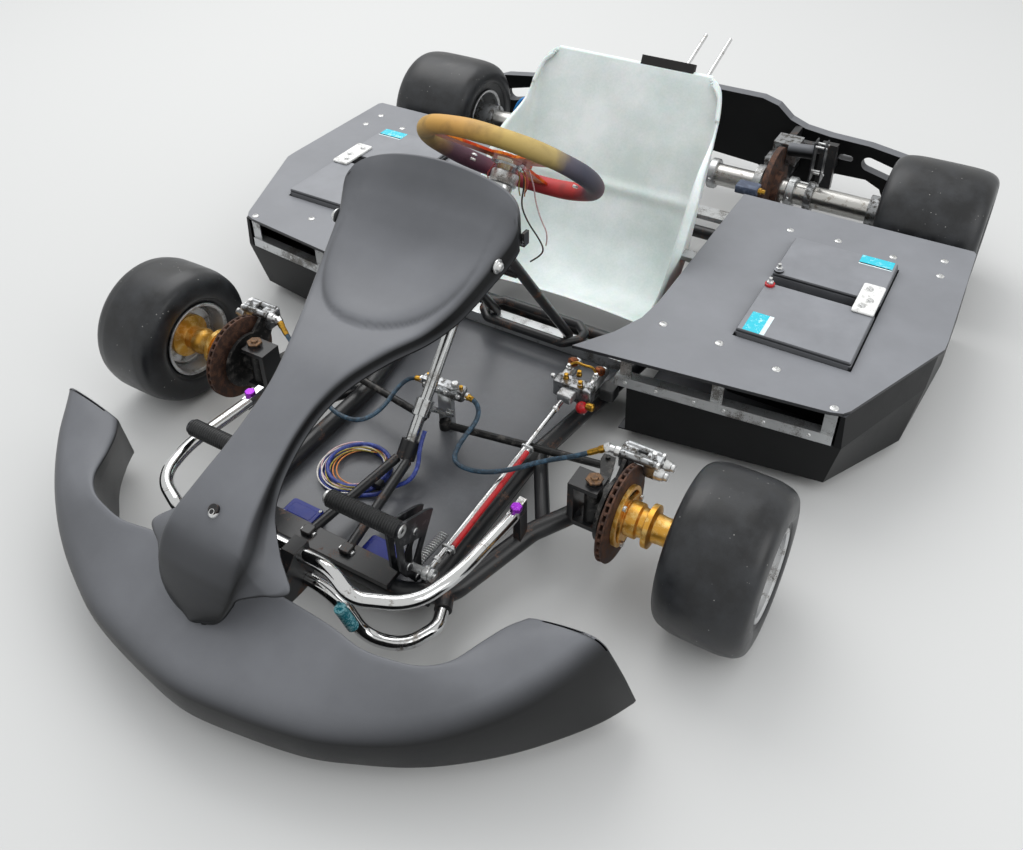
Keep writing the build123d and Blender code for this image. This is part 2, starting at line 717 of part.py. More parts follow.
# Seat: a thick U-shaped section at nine stations from the top of the back to the front lip
seat_x = 6.0
seat_stations = (
    # centre y, centre z, rim y, rim z, half width, corner radius
    (788.0, 472.0, 782.0, 466.0, 178.0, 6.0),
    (776.0, 446.0, 752.0, 420.0, 203.0, 24.0),
    (750.0, 380.0, 694.0, 378.0, 205.0, 36.0),
    (720.0, 300.0, 622.0, 348.0, 205.0, 44.0),
    (688.0, 215.0, 578.0, 288.0, 204.0, 50.0),
    (655.0, 135.0, 540.0, 228.0, 203.0, 54.0),
    (602.0, 80.0, 514.0, 165.0, 198.0, 54.0),
    (552.0, 62.0, 484.0, 118.0, 188.0, 50.0),
    (508.0, 70.0, 452.0, 92.0, 172.0, 44.0),
)


def seat_section(y, z, rim_y, rim_z, half, corner):
    """The plane through the centre line and the rim, and the thick U drawn in it."""
    reach = Vector(0, rim_y - y, rim_z - z)
    depth = reach.length
    normal = Vector(1, 0, 0).cross(reach.normalized())
    plane = Plane(origin=place(seat_x, y, z), x_dir=(1, 0, 0), z_dir=normal)
    corner = min(corner, depth * 0.7)
    bite = corner * (1 - cos(pi / 4))
    outer = [(half - corner, 0), (half - bite, bite), (half, corner), (half + 3, depth)]
    inner = [
        (half + 3 - seat_wall, depth),
        (half - seat_wall, corner),
        (half - bite - seat_wall * 0.7, bite + seat_wall * 0.7),
        (half - corner, seat_wall),
    ]
    right = outer + inner
    left = [(-u, v) for u, v in right][::-1]
    return plane, right + left


with BuildPart() as seat:
    for station in seat_stations:
        plane, outline = seat_section(*station)
        with BuildSketch(plane) as seat_cut:
            with BuildLine():
                Polyline(*outline, close=True)
            make_face()
    loft(ruled=True)
finish(seat, "seat")

# Plate and strip on the back of the seat, with two slim rods that point rearwards
strip_wall = 12.0
with BuildPart() as seat_rods:
    for (low_y, low_z), (high_y, high_z), reach, x0, x1 in (
        ((750.0, 380.0), (776.0, 446.0), 66.0, 56, 150),
        ((776.0, 446.0), (788.0, 472.0), 44.0, 22, 132),
    ):
        up = Vector(high_y - low_y, high_z - low_z).normalized()
        back = Vector(up.Y, -up.X)
        foot = Vector(low_y, low_z) + up * 3 + back * fit_gap
        top = foot + up * reach
        strip_corners = (foot, top, top + back * strip_wall, foot + back * strip_wall)
        with BuildSketch(beside(x0)) as strip:
            with BuildLine():
                Polyline(*[(p.X, p.Y) for p in strip_corners], close=True)
            make_face()
        extrude(strip.sketch, amount=x1 - x0)
    for x in (77, 130):
        bar([(x, 770.0, 394.7), (x, 1000.0, 471.0)], 4.0)
finish(seat_rods, "seat_rods")

# Nose fairing: closed sections in upright planes, from the middle out to the slanted end face
nose_stations = (
    # crest x, y, z, inner top x, y, z, outer bottom x, y, inner bottom x, y
    (0.0, -528.0, 125.0, 0.0, -385.0, 180.0, 0.0, -519.0, 0.0, -420.0),
    (90.0, -517.0, 121.0, 80.0, -384.0, 180.0, 90.0, -508.0, 84.0, -418.0),
    (180.0, -497.0, 119.0, 154.0, -388.0, 180.0, 177.0, -490.0, 163.0, -412.0),
    (240.0, -474.0, 118.0, 206.0, -396.0, 180.0, 237.0, -466.0, 216.0, -398.0),
    (300.0, -444.0, 126.0, 248.0, -391.0, 180.0, 296.0, -437.0, 262.0, -380.0),
    (350.0, -411.0, 141.0, 284.0, -380.0, 180.0, 345.0, -404.0, 305.0, -355.0),
    (395.0, -371.0, 162.0, 311.0, -357.0, 180.0, 396.0, -360.0, 345.0, -322.0),
    (430.0, -328.0, 187.0, 329.0, -317.0, 181.0, 440.0, -312.0, 384.0, -287.0),
    (455.0, -285.0, 209.0, 345.0, -286.0, 184.0, 478.0, -262.0, 414.0, -246.0),
    (468.0, -265.0, 219.0, 365.0, -262.0, 187.0, 504.0, -213.0, 433.0, -212.0),
)
with BuildPart() as nose:
    for (crest_x, crest_y, crest_z, top_x, top_y, top_z, out_x, out_y, in_x, in_y) in nose_stations:
        crest = place(crest_x, crest_y, crest_z)
        inner_top = place(top_x, top_y, top_z)
        outer_low = place(out_x, out_y, nose_floor_z)
        inner_low = place(in_x, in_y, nose_floor_z)
        nose_plane = Plane(origin=crest, x_dir=(inner_top - crest).normalized(),
                           z_dir=(inner_top - crest).cross(outer_low - crest).normalized())
        corners = [nose_plane.to_local_coords(point) for point in (crest, inner_top, inner_low, outer_low)]
        with BuildSketch(nose_plane) as nose_cut:
            with BuildLine():
                Polyline(*[(point.X, point.Y) for point in corners], close=True)
            make_face()
    loft(ruled=True)
    mirror(about=Plane.YZ)
finish(nose, "nose_fairing")

# Front panel: a channel section at stations along its length, dished in the head
panel_stations = (
    # y, crease z, half width, crown, side depth, bottom half width, wall
    (-466.0, 212.0, 46.0, 2.0, 36.0, 48.0, 6.0),
    (-450.0, 246.0, 60.0, 2.0, 58.0, 64.0, 6.0),
    (-430.0, 277.0, 62.0, 1.0, 64.0, 84.0, 6.0),
    (-410.0, 297.0, 60.0, 1.0, 58.0, 117.0, 6.0),
    (-384.0, 313.0, 54.0, 1.0, 52.0, 82.0, 5.0),
    (-357.0, 327.0, 49.0, 1.0, 40.0, 58.0, 5.0),
    (-329.0, 340.0, 44.0, 1.0, 24.0, 48.0, 5.0),
    (-284.0, 361.0, 40.0, 1.0, 20.0, 43.0, 4.0),
    (-236.0, 380.0, 42.0, 1.0, 20.0, 45.0, 4.0),
    (-188.0, 396.0, 54.0, 1.0, 20.0, 57.0, 4.0),
    (-133.0, 406.0, 76.0, 1.0, 20.0, 79.0, 4.0),
    (-81.0, 412.0, 100.0, -3.0, 22.0, 103.0, 4.0),
    (-38.0, 427.0, 116.0, -7.0, 30.0, 119.0, 4.0),
    (0.0, 446.0, 127.0, -9.0, 34.0, 130.0, 4.0),
    (35.0, 466.0, 136.0, -6.0, 36.0, 139.0, 4.0),
    (77.0, 489.0, 147.0, 6.0, 38.0, 150.0, 4.0),
    (110.0, 503.0, 151.0, 24.0, 40.0, 154.0, 4.0),
    (130.0, 508.0, 148.0, 36.0, 40.0, 150.0, 4.0),
)
with BuildPart() as front_panel:
    for y, z, half, crown, depth, low_half, wall in panel_stations:
        outer = [(-low_half, z - depth), (-half, z), (-half / 2, z + crown * 0.8), (0, z + crown),
                 (half / 2, z + crown * 0.8), (half, z), (low_half, z - depth)]
        inner = [(low_half - wall, z - depth), (half - wall, z - wall), (half / 2, z + crown * 0.8 - wall),
                 (0, z + crown - wall), (-half / 2, z + crown * 0.8 - wall), (-half + wall, z - wall),
                 (-low_half + wall, z - depth)]
        with BuildSketch(across(y)) as panel_cut:
            with BuildLine():
                Polyline(*(outer + inner), close=True)
            make_face()
    loft(ruled=True)
    with BuildSketch(Plane(origin=place(0, -388, 292), z_dir=(0, -11, 17))) as screw_hole:
        Circle(4.0)
    extrude(screw_hole.sketch, amount=40, mode=Mode.SUBTRACT)
finish(front_panel, "front_panel")

# Battery bays: an open tray with sloping sides under the deck, one on each side of the seat
bay_waist_z = 130.0
bay_low = [(250.0, 262.0), (600.0, 310.0), (686.0, 474.0), (708.0, 728.0), (698.0, 868.0), (250.0, 868.0)]
bay_waist = [(250.0, 256.0), (616.0, 290.0), (700.0, 508.0), (710.0, 728.0), (702.0, 868.0), (250.0, 868.0)]
bay_high = [(250.0, 250.0), (611.0, 290.0), (704.0, 532.0), (709.0, 728.0), (703.0, 868.0), (250.0, 868.0)]
bay_top = deck_top_z - deck_wall


def inset(points, gap):
    """The same corners moved inwards by a gap, for the inside of a bay."""
    middle_x = 470.0
    middle_y = 580.0
    return [
        (x - gap * (1 if x > middle_x else -1), y - gap * (1 if y > middle_y else -1))
        for x, y in points
    ]


with BuildPart() as side_bays:
    for side in (1, -1):
        for gap, low_z, mode in (
            (0.0, bay_floor_z, Mode.ADD),
            (bay_wall, bay_floor_z + bay_wall, Mode.SUBTRACT),
        ):
            faces = []
            for corners, z in ((bay_low, low_z), (bay_waist, bay_waist_z), (bay_high, bay_top)):
                with BuildSketch(level(z)) as bay_cut:
                    with BuildLine():
                        Polyline(*[(side * x, y) for x, y in inset(corners, gap)], close=True)
                    make_face()
                faces.append(bay_cut.sketch)
            loft(faces, ruled=True, mode=mode)
        block(side * 240, side * 604, 240, 330, bay_waist_z, bay_top + 1, mode=Mode.SUBTRACT)
        block(side * 240, side * 262, 240, 880, bay_floor_z + bay_wall, bay_top + 1, mode=Mode.SUBTRACT)
finish(side_bays, "side_bays")

# Deck plates over the bays, with a window for the batteries
deck_outline = [
    (167.0, 236.0), (588.0, 284.0), (606.0, 290.0), (615.0, 302.0), (710.0, 532.0), (711.0, 560.0),
    (705.0, 866.0), (699.0, 874.0), (242.0, 874.0), (242.0, 420.0), (236.0, 366.0), (212.0, 306.0),
]
battery_middle_x = (battery_inner_x + battery_outer_x) / 2
battery_middle_y = (battery_front_y + battery_rear_y) / 2
with BuildPart() as deck_plates:
    for side in (1, -1):
        with BuildSketch(level(bay_top)) as deck:
            with BuildLine():
                Polyline(*[(side * x, y) for x, y in deck_outline], close=True)
            make_face()
            with Locations((side * battery_middle_x, battery_middle_y)):
                Rectangle(battery_outer_x - battery_inner_x, battery_rear_y - battery_front_y,
                          mode=Mode.SUBTRACT)
        extrude(deck.sketch, amount=deck_wall)
finish(deck_plates, "deck_plates")

battery_low = frame_z + nerf_radius + fit_gap
with BuildPart() as batteries:
    for side in (1, -1):
        for y0, y1 in (
            (battery_front_y + window_gap, battery_middle_y - battery_gap / 2),
            (battery_middle_y + battery_gap / 2, battery_rear_y - window_gap),
        ):
            block(side * (battery_inner_x + window_gap), side * (battery_outer_x - window_gap), y0, y1,
                  battery_low, battery_top_z)
finish(batteries, "batteries")

with BuildPart() as battery_links:
    for side in (1, -1):
        block(side * (battery_outer_x - 42), side * (battery_outer_x - window_gap), battery_middle_y - 27,
              battery_middle_y + 71, battery_top_z, battery_top_z + 3)
        for y in (battery_middle_y - 17, battery_middle_y + 35):
            upright(side * (battery_inner_x + 12), y, battery_top_z, battery_top_z + 4, 9)
            upright(side * (battery_inner_x + 12), y, battery_top_z + 4, battery_top_z + 16, 5)
finish(battery_links, "battery_links")

# Bay frames: aluminium angle along the front, posts up to the deck and bars across behind the seat
bay_rail = [(240, 256), (600, 289)]
bay_rail_shelf = 20.0
seat_stay_reach = 204.6
with BuildPart() as bay_frames:
    for side in (1, -1):
        for depth, low in ((3.0, bay_waist_z), (bay_rail_shelf, bay_rail_z - 3)):
            with BuildSketch(level(low)) as angle:
                with BuildLine():
                    Polyline(*[(side * x, y) for x, y in bay_rail],
                             *[(side * x, y + depth) for x, y in bay_rail[::-1]], close=True)
                make_face()
            extrude(angle.sketch, amount=bay_rail_z - low)
        for x, y in ((246, 262), (402, 276), (580, 292)):
            block(side * x, side * (x + 20), y, y + 3, bay_rail_z - 3, bay_top)
    for side in (1, -1):
        block(seat_x + side * seat_stay_reach, side * 262, 594, 622, bay_top - 10, bay_top)
    block(-560, 560, 758, 796, bay_top - 10, bay_top)
finish(bay_frames, "bay_frames")

# Rear bumper: a moulded bar with openings, cut from its outline seen from behind
bumper_past_axle = 225.0
bumper_depth = 28.0
bumper_rear_y = wheelbase + bumper_past_axle
bumper_front_y = bumper_rear_y - bumper_depth
bumper_half = [
    (0, 255), (150, 255), (190, 244), (224, 216), (262, 202), (322, 195), (414, 192), (496, 180), (560, 170),
    (612, 150), (636, 120), (632, 84), (600, 62), (540, 56), (470, 62), (455, 92), (420, 108), (350, 106),
    (316, 90), (300, 66), (220, 66), (160, 84), (0, 95),
]
with BuildPart() as rear_bumper:
    with BuildSketch(across(bumper_rear_y)) as bumper:
        with BuildLine():
            Polyline(*bumper_half, *[(-x, z) for x, z in bumper_half[1:-1]][::-1], close=True)
        make_face()
        for side in (1, -1):
            with Locations((side * 480, 133)):
                SlotOverall(158, 34, rotation=-side * 14, mode=Mode.SUBTRACT)
            with Locations((side * 366, 152)):
                SlotOverall(34, 14, mode=Mode.SUBTRACT)
    extrude(bumper.sketch, amount=bumper_rear_y - bumper_front_y)
finish(rear_bumper, "rear_bumper")

with BuildPart() as bumper_brackets:
    for side in (1, -1):
        bar([(side * rail_rear_x, rail_rear_y + fit_gap, frame_z),
             (side * rail_rear_x, rail_rear_y + 40, frame_z),
             (side * 250.0, bumper_front_y - 26, 110.0),
             (side * 250.0, bumper_front_y - 0.4, 110.0)], 12.0, bend=20.0)
        block(side * 322, side * 358, rail_rear_y + 8, rail_rear_y + 26, 104, 214)
        along_x(side * 240, side * 340, rail_rear_y + 18, 196, 12)
        block(side * 330, side * 350, rail_rear_y + 20, bumper_front_y - 0.4, 130, 150)
        block(side * 240, side * 256, rail_rear_y + 10, bumper_front_y - 2, 90, 206)
finish(bumper_brackets, "bumper_brackets")

# Driven axle: hollow shaft on two bearings, brake disc on the left, sprocket and motor on the right
rear_rim_disc_x = 549.0
axle_half = rear_rim_disc_x - 1.0
axle_wall = 3.0
with BuildPart() as rear_axle:
    along_x(-axle_half, axle_half, rear_axle_y, rear_axle_z, rear_axle_radius)
    along_x(-axle_half - 1, axle_half + 1, rear_axle_y, rear_axle_z, rear_axle_radius - axle_wall,
            mode=Mode.SUBTRACT)
finish(rear_axle, "rear_axle")

with BuildPart() as rear_hubs:
    for side in (1, -1):
        along_x(side * 470, side * (rear_rim_disc_x - 0.3), rear_axle_y, rear_axle_z, 36.0)
        along_x(side * (rear_rim_disc_x - 10), side * (rear_rim_disc_x), rear_axle_y, rear_axle_z, 52.0)
        along_x(side * 469, side * (rear_rim_disc_x + 1), rear_axle_y, rear_axle_z,
                rear_axle_radius + running_gap, mode=Mode.SUBTRACT)
        along_x(side * 334, side * 350, rear_axle_y, rear_axle_z, 33.0)
        along_x(side * 333, side * 351, rear_axle_y, rear_axle_z, rear_axle_radius + running_gap,
                mode=Mode.SUBTRACT)
finish(rear_hubs, "rear_hubs")

with BuildPart() as rear_rims:
    for side in (1, -1):
        rim(side * rear_wheel_x, rear_axle_y, rear_axle_z, rear_tyre_width, rear_rim_disc_x, 30.0, side)
finish(rear_rims, "rear_rims")

with BuildPart() as rear_tyres:
    for side in (1, -1):
        tyre(side * rear_wheel_x, rear_axle_y, rear_axle_z, rear_tyre_radius, rear_tyre_width, rear_shoulder)
finish(rear_tyres, "rear_tyres")

with BuildPart() as rear_disc:
    along_x(rear_disc_x - rear_disc_wall / 2, rear_disc_x + rear_disc_wall / 2, rear_axle_y, rear_axle_z,
            rear_disc_radius)
    along_x(rear_disc_x - 12, rear_disc_x + 20, rear_axle_y, rear_axle_z, 40.0)
    along_x(rear_disc_x - 13, rear_disc_x + 21, rear_axle_y, rear_axle_z, rear_axle_radius + running_gap,
            mode=Mode.SUBTRACT)
finish(rear_disc, "rear_brake_disc")

sprocket_teeth = 48
with BuildPart() as sprocket:
    with BuildSketch(beside(-sprocket_x, rear_axle_y, rear_axle_z)) as toothed:
        Circle(sprocket_radius - 5)
        with PolarLocations(sprocket_radius - 3, sprocket_teeth):
            Rectangle(6, 5)
        with PolarLocations(sprocket_radius - 28, 6):
            Circle(14, mode=Mode.SUBTRACT)
    extrude(toothed.sketch, amount=sprocket_wall)
    along_x(-sprocket_x - 12, -sprocket_x + sprocket_wall + 12, rear_axle_y, rear_axle_z, 38.0)
    along_x(-sprocket_x - 13, -sprocket_x + sprocket_wall + 13, rear_axle_y, rear_axle_z,
            rear_axle_radius + running_gap, mode=Mode.SUBTRACT)
finish(sprocket, "sprocket")

# Bearing carriers on the rails, rear caliper and motor
with BuildPart() as axle_bearings:
    for side in (1, -1):
        along_x(side * 217, side * 235, rear_axle_y, rear_axle_z, 44.0)
        block(side * 217, side * 235, rear_axle_y - 40, rear_axle_y + 40, frame_z + tube_radius + fit_gap,
              rear_axle_z)
        along_x(side * 216, side * 236, rear_axle_y, rear_axle_z, rear_axle_radius + running_gap,
                mode=Mode.SUBTRACT)
finish(axle_bearings, "axle_bearings")

with BuildPart() as rear_caliper:
    disc_low = rear_disc_x - rear_disc_wall / 2 - 1.5
    disc_high = rear_disc_x + rear_disc_wall / 2 + 1.5
    block(disc_low - 18, disc_high + 22, rear_axle_y + 47, rear_axle_y + 99, 176, 226)
    along_x(disc_low, disc_high, rear_axle_y, rear_axle_z, rear_disc_radius + 5.0, mode=Mode.SUBTRACT)
    block(217, 234.5, rear_axle_y + 44.5, rear_axle_y + 85, 96, 184)
finish(rear_caliper, "rear_caliper")

with BuildPart() as motor:
    block(-200, -40, cross_tubes_y[1] - 63, cross_tubes_y[1] + 39, frame_z + tube_radius - 1 + fit_gap, 190)
    along_x(-206, -168, cross_tubes_y[1] - 12, 137, 24.0)
finish(motor, "motor")

# Cable coil on the floor: its outer shape, and the lead that rises to the lower bearing of the column
coil_x = -72.0
coil_y = -64.0
coil_radius = 54.0
coil_section = 13.0
with BuildPart() as cable_coil:
    coil_centre = place(coil_x, coil_y, frame_z - tube_radius + coil_section)
    with BuildSketch(Plane(origin=coil_centre, x_dir=(1, 0, 0), z_dir=(0, -1, 0))) as coil_cut:
        with Locations((coil_radius, 0)):
            Circle(coil_section)
    revolve(coil_cut.sketch, axis=Axis(coil_centre, (0, 0, 1)))
finish(cable_coil, "cable_coil")

# Lead from the coil to the lower end of the column
lead_radius = 3.5
lead_route = [(2.0, -64.0, 61.0), (30.0, -60.0, 72.0), (34.0, -35.0, 86.0), (19.0, -9.0, 100.0),
              (18.0, 10.0, 119.0)]
with BuildPart() as cable_lead:
    bar(lead_route, lead_radius)
finish(cable_lead, "cable_lead")

# Two loose wires that hang from the back of the steering wheel
wheel_wires = (
    # name, radius, points
    ("wheel_wire_dark", 1.5, [(14.0, 341.2, 441.3), (10.0, 352.0, 408.0), (1.0, 352.0, 366.0),
                              (16.0, 350.0, 336.0), (40.0, 350.0, 308.0), (50.0, 350.0, 288.0),
                              (38.0, 350.0, 270.0), (22.0, 350.0, 256.0)]),
    ("wheel_wire_pale", 1.25, [(25.0, 339.2, 443.3), (29.0, 350.0, 410.0), (30.0, 352.0, 383.0),
                               (41.0, 350.0, 351.0), (58.0, 350.0, 322.0), (53.0, 350.0, 299.0)]),
)
for name, radius, points in wheel_wires:
    with BuildPart() as wheel_wire:
        bar(points, radius)
    finish(wheel_wire, name)
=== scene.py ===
"""Looks of an electric kart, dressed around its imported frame.

Laid out as a Blender add-on and run as a script. Shapes are worked out in millimetres, with y counted
rearwards from the front axle, and turned to metres in the row frame when a piece is built.
"""

import math

import bmesh
import bpy
import numpy as np
from mathutils import Matrix


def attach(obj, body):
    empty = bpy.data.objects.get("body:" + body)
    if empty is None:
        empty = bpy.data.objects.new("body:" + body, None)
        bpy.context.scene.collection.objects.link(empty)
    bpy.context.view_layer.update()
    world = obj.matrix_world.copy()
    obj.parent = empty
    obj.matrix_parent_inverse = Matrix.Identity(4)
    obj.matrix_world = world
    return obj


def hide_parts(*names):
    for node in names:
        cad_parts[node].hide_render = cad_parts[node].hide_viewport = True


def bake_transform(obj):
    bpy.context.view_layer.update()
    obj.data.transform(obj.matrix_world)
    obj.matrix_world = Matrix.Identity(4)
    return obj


bl_info = {
    "name": "Kart dresser",
    "version": (1, 0, 0),
    "blender": (4, 5, 0),
    "location": "View3D > Sidebar > Kart",
    "description": "Builds the finished surfaces of an electric kart around its frame",
    "category": "Object",
}

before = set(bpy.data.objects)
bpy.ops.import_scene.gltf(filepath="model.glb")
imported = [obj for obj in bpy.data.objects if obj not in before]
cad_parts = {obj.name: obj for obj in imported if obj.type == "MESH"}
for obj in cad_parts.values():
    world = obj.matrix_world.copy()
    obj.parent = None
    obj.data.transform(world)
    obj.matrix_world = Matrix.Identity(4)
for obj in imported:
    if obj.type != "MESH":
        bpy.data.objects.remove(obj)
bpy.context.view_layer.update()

# Places that several pieces share, in mm: wheel centres, and the steering column's foot and directions
FRONT_AXLE_Y = -371.0
FRONT_WHEEL = np.array((536.0, 0.0, 127.0))
REAR_WHEEL = np.array((600.0, 1045.0, 138.0))
COLUMN_FOOT = np.array((0.0, -22.0, 82.4))
COLUMN_LEAN = math.radians(48)
COLUMN_WAY = np.array((0.0, math.cos(COLUMN_LEAN), math.sin(COLUMN_LEAN)))
COLUMN_DOWN = np.array((0.0, math.sin(COLUMN_LEAN), -math.cos(COLUMN_LEAN)))
WHEEL_ALONG = 514.0
X, Y, Z = np.eye(3)
HANDS = ((1, "left"), (-1, "right"))
THIRDS = np.arange(3) * 2 * np.pi / 3


# Shapes are pairs of arrays: points, and the four-cornered faces over them
def skin(points, wrap_rows=False, wrap_columns=False):
    """Faces over a grid of points shaped (rows, columns, 3); a wrapped direction joins its end to its start.

    They are turned round if the volume that they enclose, the sum of a.(b x c) + a.(c x d), is negative.
    """
    rows, columns, _ = points.shape
    i, j = np.indices((rows - (not wrap_rows), columns - (not wrap_columns)))
    below, beside = (i + 1) % rows, (j + 1) % columns
    corners = (i * columns + j, below * columns + j, below * columns + beside, i * columns + beside)
    points, faces = points.reshape(-1, 3), np.stack(corners, -1).reshape(-1, 4)
    a, b, c, d = (points[faces[:, k]] for k in range(4))
    volume = (a * np.cross(b, c)).sum() + (a * np.cross(c, d)).sum()
    return points, faces if volume > 0 else faces[:, ::-1]


def unit(vectors):
    """A vector, or each row of vectors, at length one."""
    vectors = np.asarray(vectors, float)
    return vectors / np.linalg.norm(vectors, axis=-1, keepdims=True)


def square_to(axis):
    """Two directions square to an axis and to each other."""
    axis = unit(axis)
    first = unit(np.cross(axis, Z if abs(axis[2]) < 0.9 else X))
    return first, np.cross(axis, first)


def circle(sides):
    """A regular outline of radius one."""
    angle = np.linspace(0, 2 * np.pi, sides, endpoint=False)
    return np.stack((np.cos(angle), np.sin(angle)), -1)


def on_ring(x, centre, radius, angle):
    """A point beside a wheel's centre: (x, y + radius cos, z + radius sin)."""
    return x, centre[1] + radius * math.cos(angle), centre[2] + radius * math.sin(angle)


def lathe(profile, origin, axis, turns=48, loop=False, side=1):
    """A profile of (distance along the axis, radius) turned about the axis: origin + axis*d + r*(cos, sin).

    loop joins the profile's end to its start; side -1 mirrors the distances.
    """
    profile = np.asarray(profile, float) * (side, 1)
    angle = np.linspace(0, 2 * np.pi, turns, endpoint=False)[:, None, None]
    first, second = square_to(axis)
    ring = np.cos(angle) * first + np.sin(angle) * second
    points = np.asarray(origin, float) + profile[None, :, :1] * unit(axis) + profile[None, :, 1:] * ring
    return skin(points, wrap_rows=True, wrap_columns=loop)


def rod(path, radius, sides=14):
    """A round bar along a path, closed at both ends, in frames that turn as little as they can.

    Each frame's first side is the one before it, less its part that points ahead.
    """
    path = np.asarray(path, float)
    ahead = unit(np.gradient(path, axis=0))
    first = np.empty_like(path)
    first[0] = square_to(ahead[0])[0]
    for k in range(1, len(path)):
        first[k] = unit(first[k - 1] - ahead[k] * (first[k - 1] @ ahead[k]))
    second = np.cross(ahead, first)
    section = circle(sides) * radius
    points = path[:, None] + section[:, :1] * first[:, None] + section[:, 1:] * second[:, None]
    start, end = (np.repeat(row.mean(1, keepdims=True), sides, 1) for row in (points[:1], points[-1:]))
    return skin(np.concatenate((start, points, end)), wrap_columns=True)


def arcs(start, corner, end, steps, last):
    """Quadratic curves (1 - t)^2 start + 2t(1 - t) corner + t^2 end, one after the other in one line."""
    t = np.linspace(0, 1, steps, endpoint=last)[:, None]
    start, corner, end = (part[..., None, :] for part in (start, corner, end))
    line = (1 - t) ** 2 * start + 2 * t * (1 - t) * corner + t**2 * end
    return line.reshape(line.shape[:-3] + (-1, line.shape[-1]))


def flowing(points, steps=10):
    """A smooth line in the corners of a route: the quadratic B-spline with the route's points as controls.

    Points are shaped (..., k, d), so a whole row of routes is done at once.
    """
    points = np.asarray(points, float)
    middles = (points[..., :-1, :] + points[..., 1:, :]) / 2
    middles[..., 0, :], middles[..., -1, :] = points[..., 0, :], points[..., -1, :]
    line = arcs(middles[..., :-1, :], points[..., 1:-1, :], middles[..., 1:, :], steps, False)
    return np.concatenate((line, points[..., -1:, :]), -2)


def smooth_rows(table, count):
    """Rows between the rows of a table, by Catmull-Rom cubics in even steps."""
    table = np.asarray(table, float)
    padded = np.concatenate((2 * table[:1] - table[1:2], table, 2 * table[-1:] - table[-2:-1]))
    place = np.linspace(0, len(table) - 1 - 1e-9, count)
    k = place.astype(int)
    t = (place - k).reshape((-1,) + (1,) * (table.ndim - 1))
    a, b, c, d = (padded[k + n] for n in range(4))
    return 0.5 * (2 * b + (c - a) * t + (2 * a - 5 * b + 4 * c - d) * t**2 + (3 * b - a - 3 * c + d) * t**3)


def rounded(corners, cuts, steps=6):
    """Corners rounded by quadratic curves that start a cut's length before each and end as far after it.

    Corners are shaped (..., k, d), so a whole row of outlines is rounded at once.
    """
    corners = np.asarray(corners, float)
    cuts = np.broadcast_to(np.asarray(cuts, float), corners.shape[:-1])[..., None]
    ends = []
    for turn in (1, -1):
        way = np.roll(corners, turn, -2) - corners
        reach = np.linalg.norm(way, axis=-1, keepdims=True)
        ends.append(corners + way / reach * np.minimum(cuts, reach * 0.48))
    return arcs(ends[0], corners, ends[1], steps, True)


def slab(outline, origin, across, up, depth, chamfer=1.0):
    """A flat outline (k, 2) given thickness along across x up, with its edges chamfered.

    Rows run from the centre of one face out to its edge, over the side and back to the other centre.
    """
    outline = np.asarray(outline, float)
    middle = outline.mean(0)
    reach = np.linalg.norm(outline - middle, axis=1)[:, None]
    inner = middle + (outline - middle) * (1 - chamfer / np.maximum(reach, 1e-6))
    hub = np.broadcast_to(middle, outline.shape)
    rows = ((hub, 0), (inner, 0), (outline, chamfer), (outline, depth - chamfer), (inner, depth),
            (hub, depth))
    across, up = np.asarray(across, float), np.asarray(up, float)
    normal = np.cross(across, up)
    points = np.stack([flat[:, :1] * across + flat[:, 1:] * up + d * normal for flat, d in rows])
    return skin(points + np.asarray(origin, float), wrap_columns=True)


def box(low, high, cut=3.0, chamfer=1.0):
    """An upright block between two corners, its upright edges rounded and its level edges chamfered."""
    low, high = np.minimum(low, high), np.maximum(low, high)
    corners = ((low[0], low[1]), (high[0], low[1]), (high[0], high[1]), (low[0], high[1]))
    return slab(rounded(corners, cut, 4), (0, 0, low[2]), X, Y, high[2] - low[2], chamfer)


def hexagon_nut(origin, axis, radius, height):
    """A hexagon nut or head with chamfered corners, standing on origin along its axis."""
    return slab(rounded(circle(6) * radius, 0.8, 3), origin, *square_to(axis), height, height * 0.15)


def button_screw(origin, axis, radius, height):
    """A domed screw head with a socket: a profile from the rim over the dome and down into the socket."""
    socket = radius * 0.42
    profile = ((0, 0), (0, radius), (height * 0.35, radius * 0.98), (height * 0.75, radius * 0.82),
               (height, radius * 0.5), (height, socket), (height * 0.4, socket), (height * 0.4, 0))
    return lathe(profile, origin, axis, 20)


def to_row(points):
    """Millimetres behind the front axle as metres in the row frame."""
    return (np.asarray(points, float) + (0.0, FRONT_AXLE_Y, 0.0)) / 1000.0


def of(finish, *shapes):
    """Shapes of one finish, as the (shape, finish) pairs that build() takes."""
    return [(shape, finish) for shape in shapes]


def placed(name, data):
    """A new object in the scene, in place of an earlier one of its name."""
    old = bpy.data.objects.get(name)
    if old:
        bpy.data.objects.remove(old)
    piece = bpy.data.objects.new(name, data)
    bpy.context.scene.collection.objects.link(piece)
    return piece


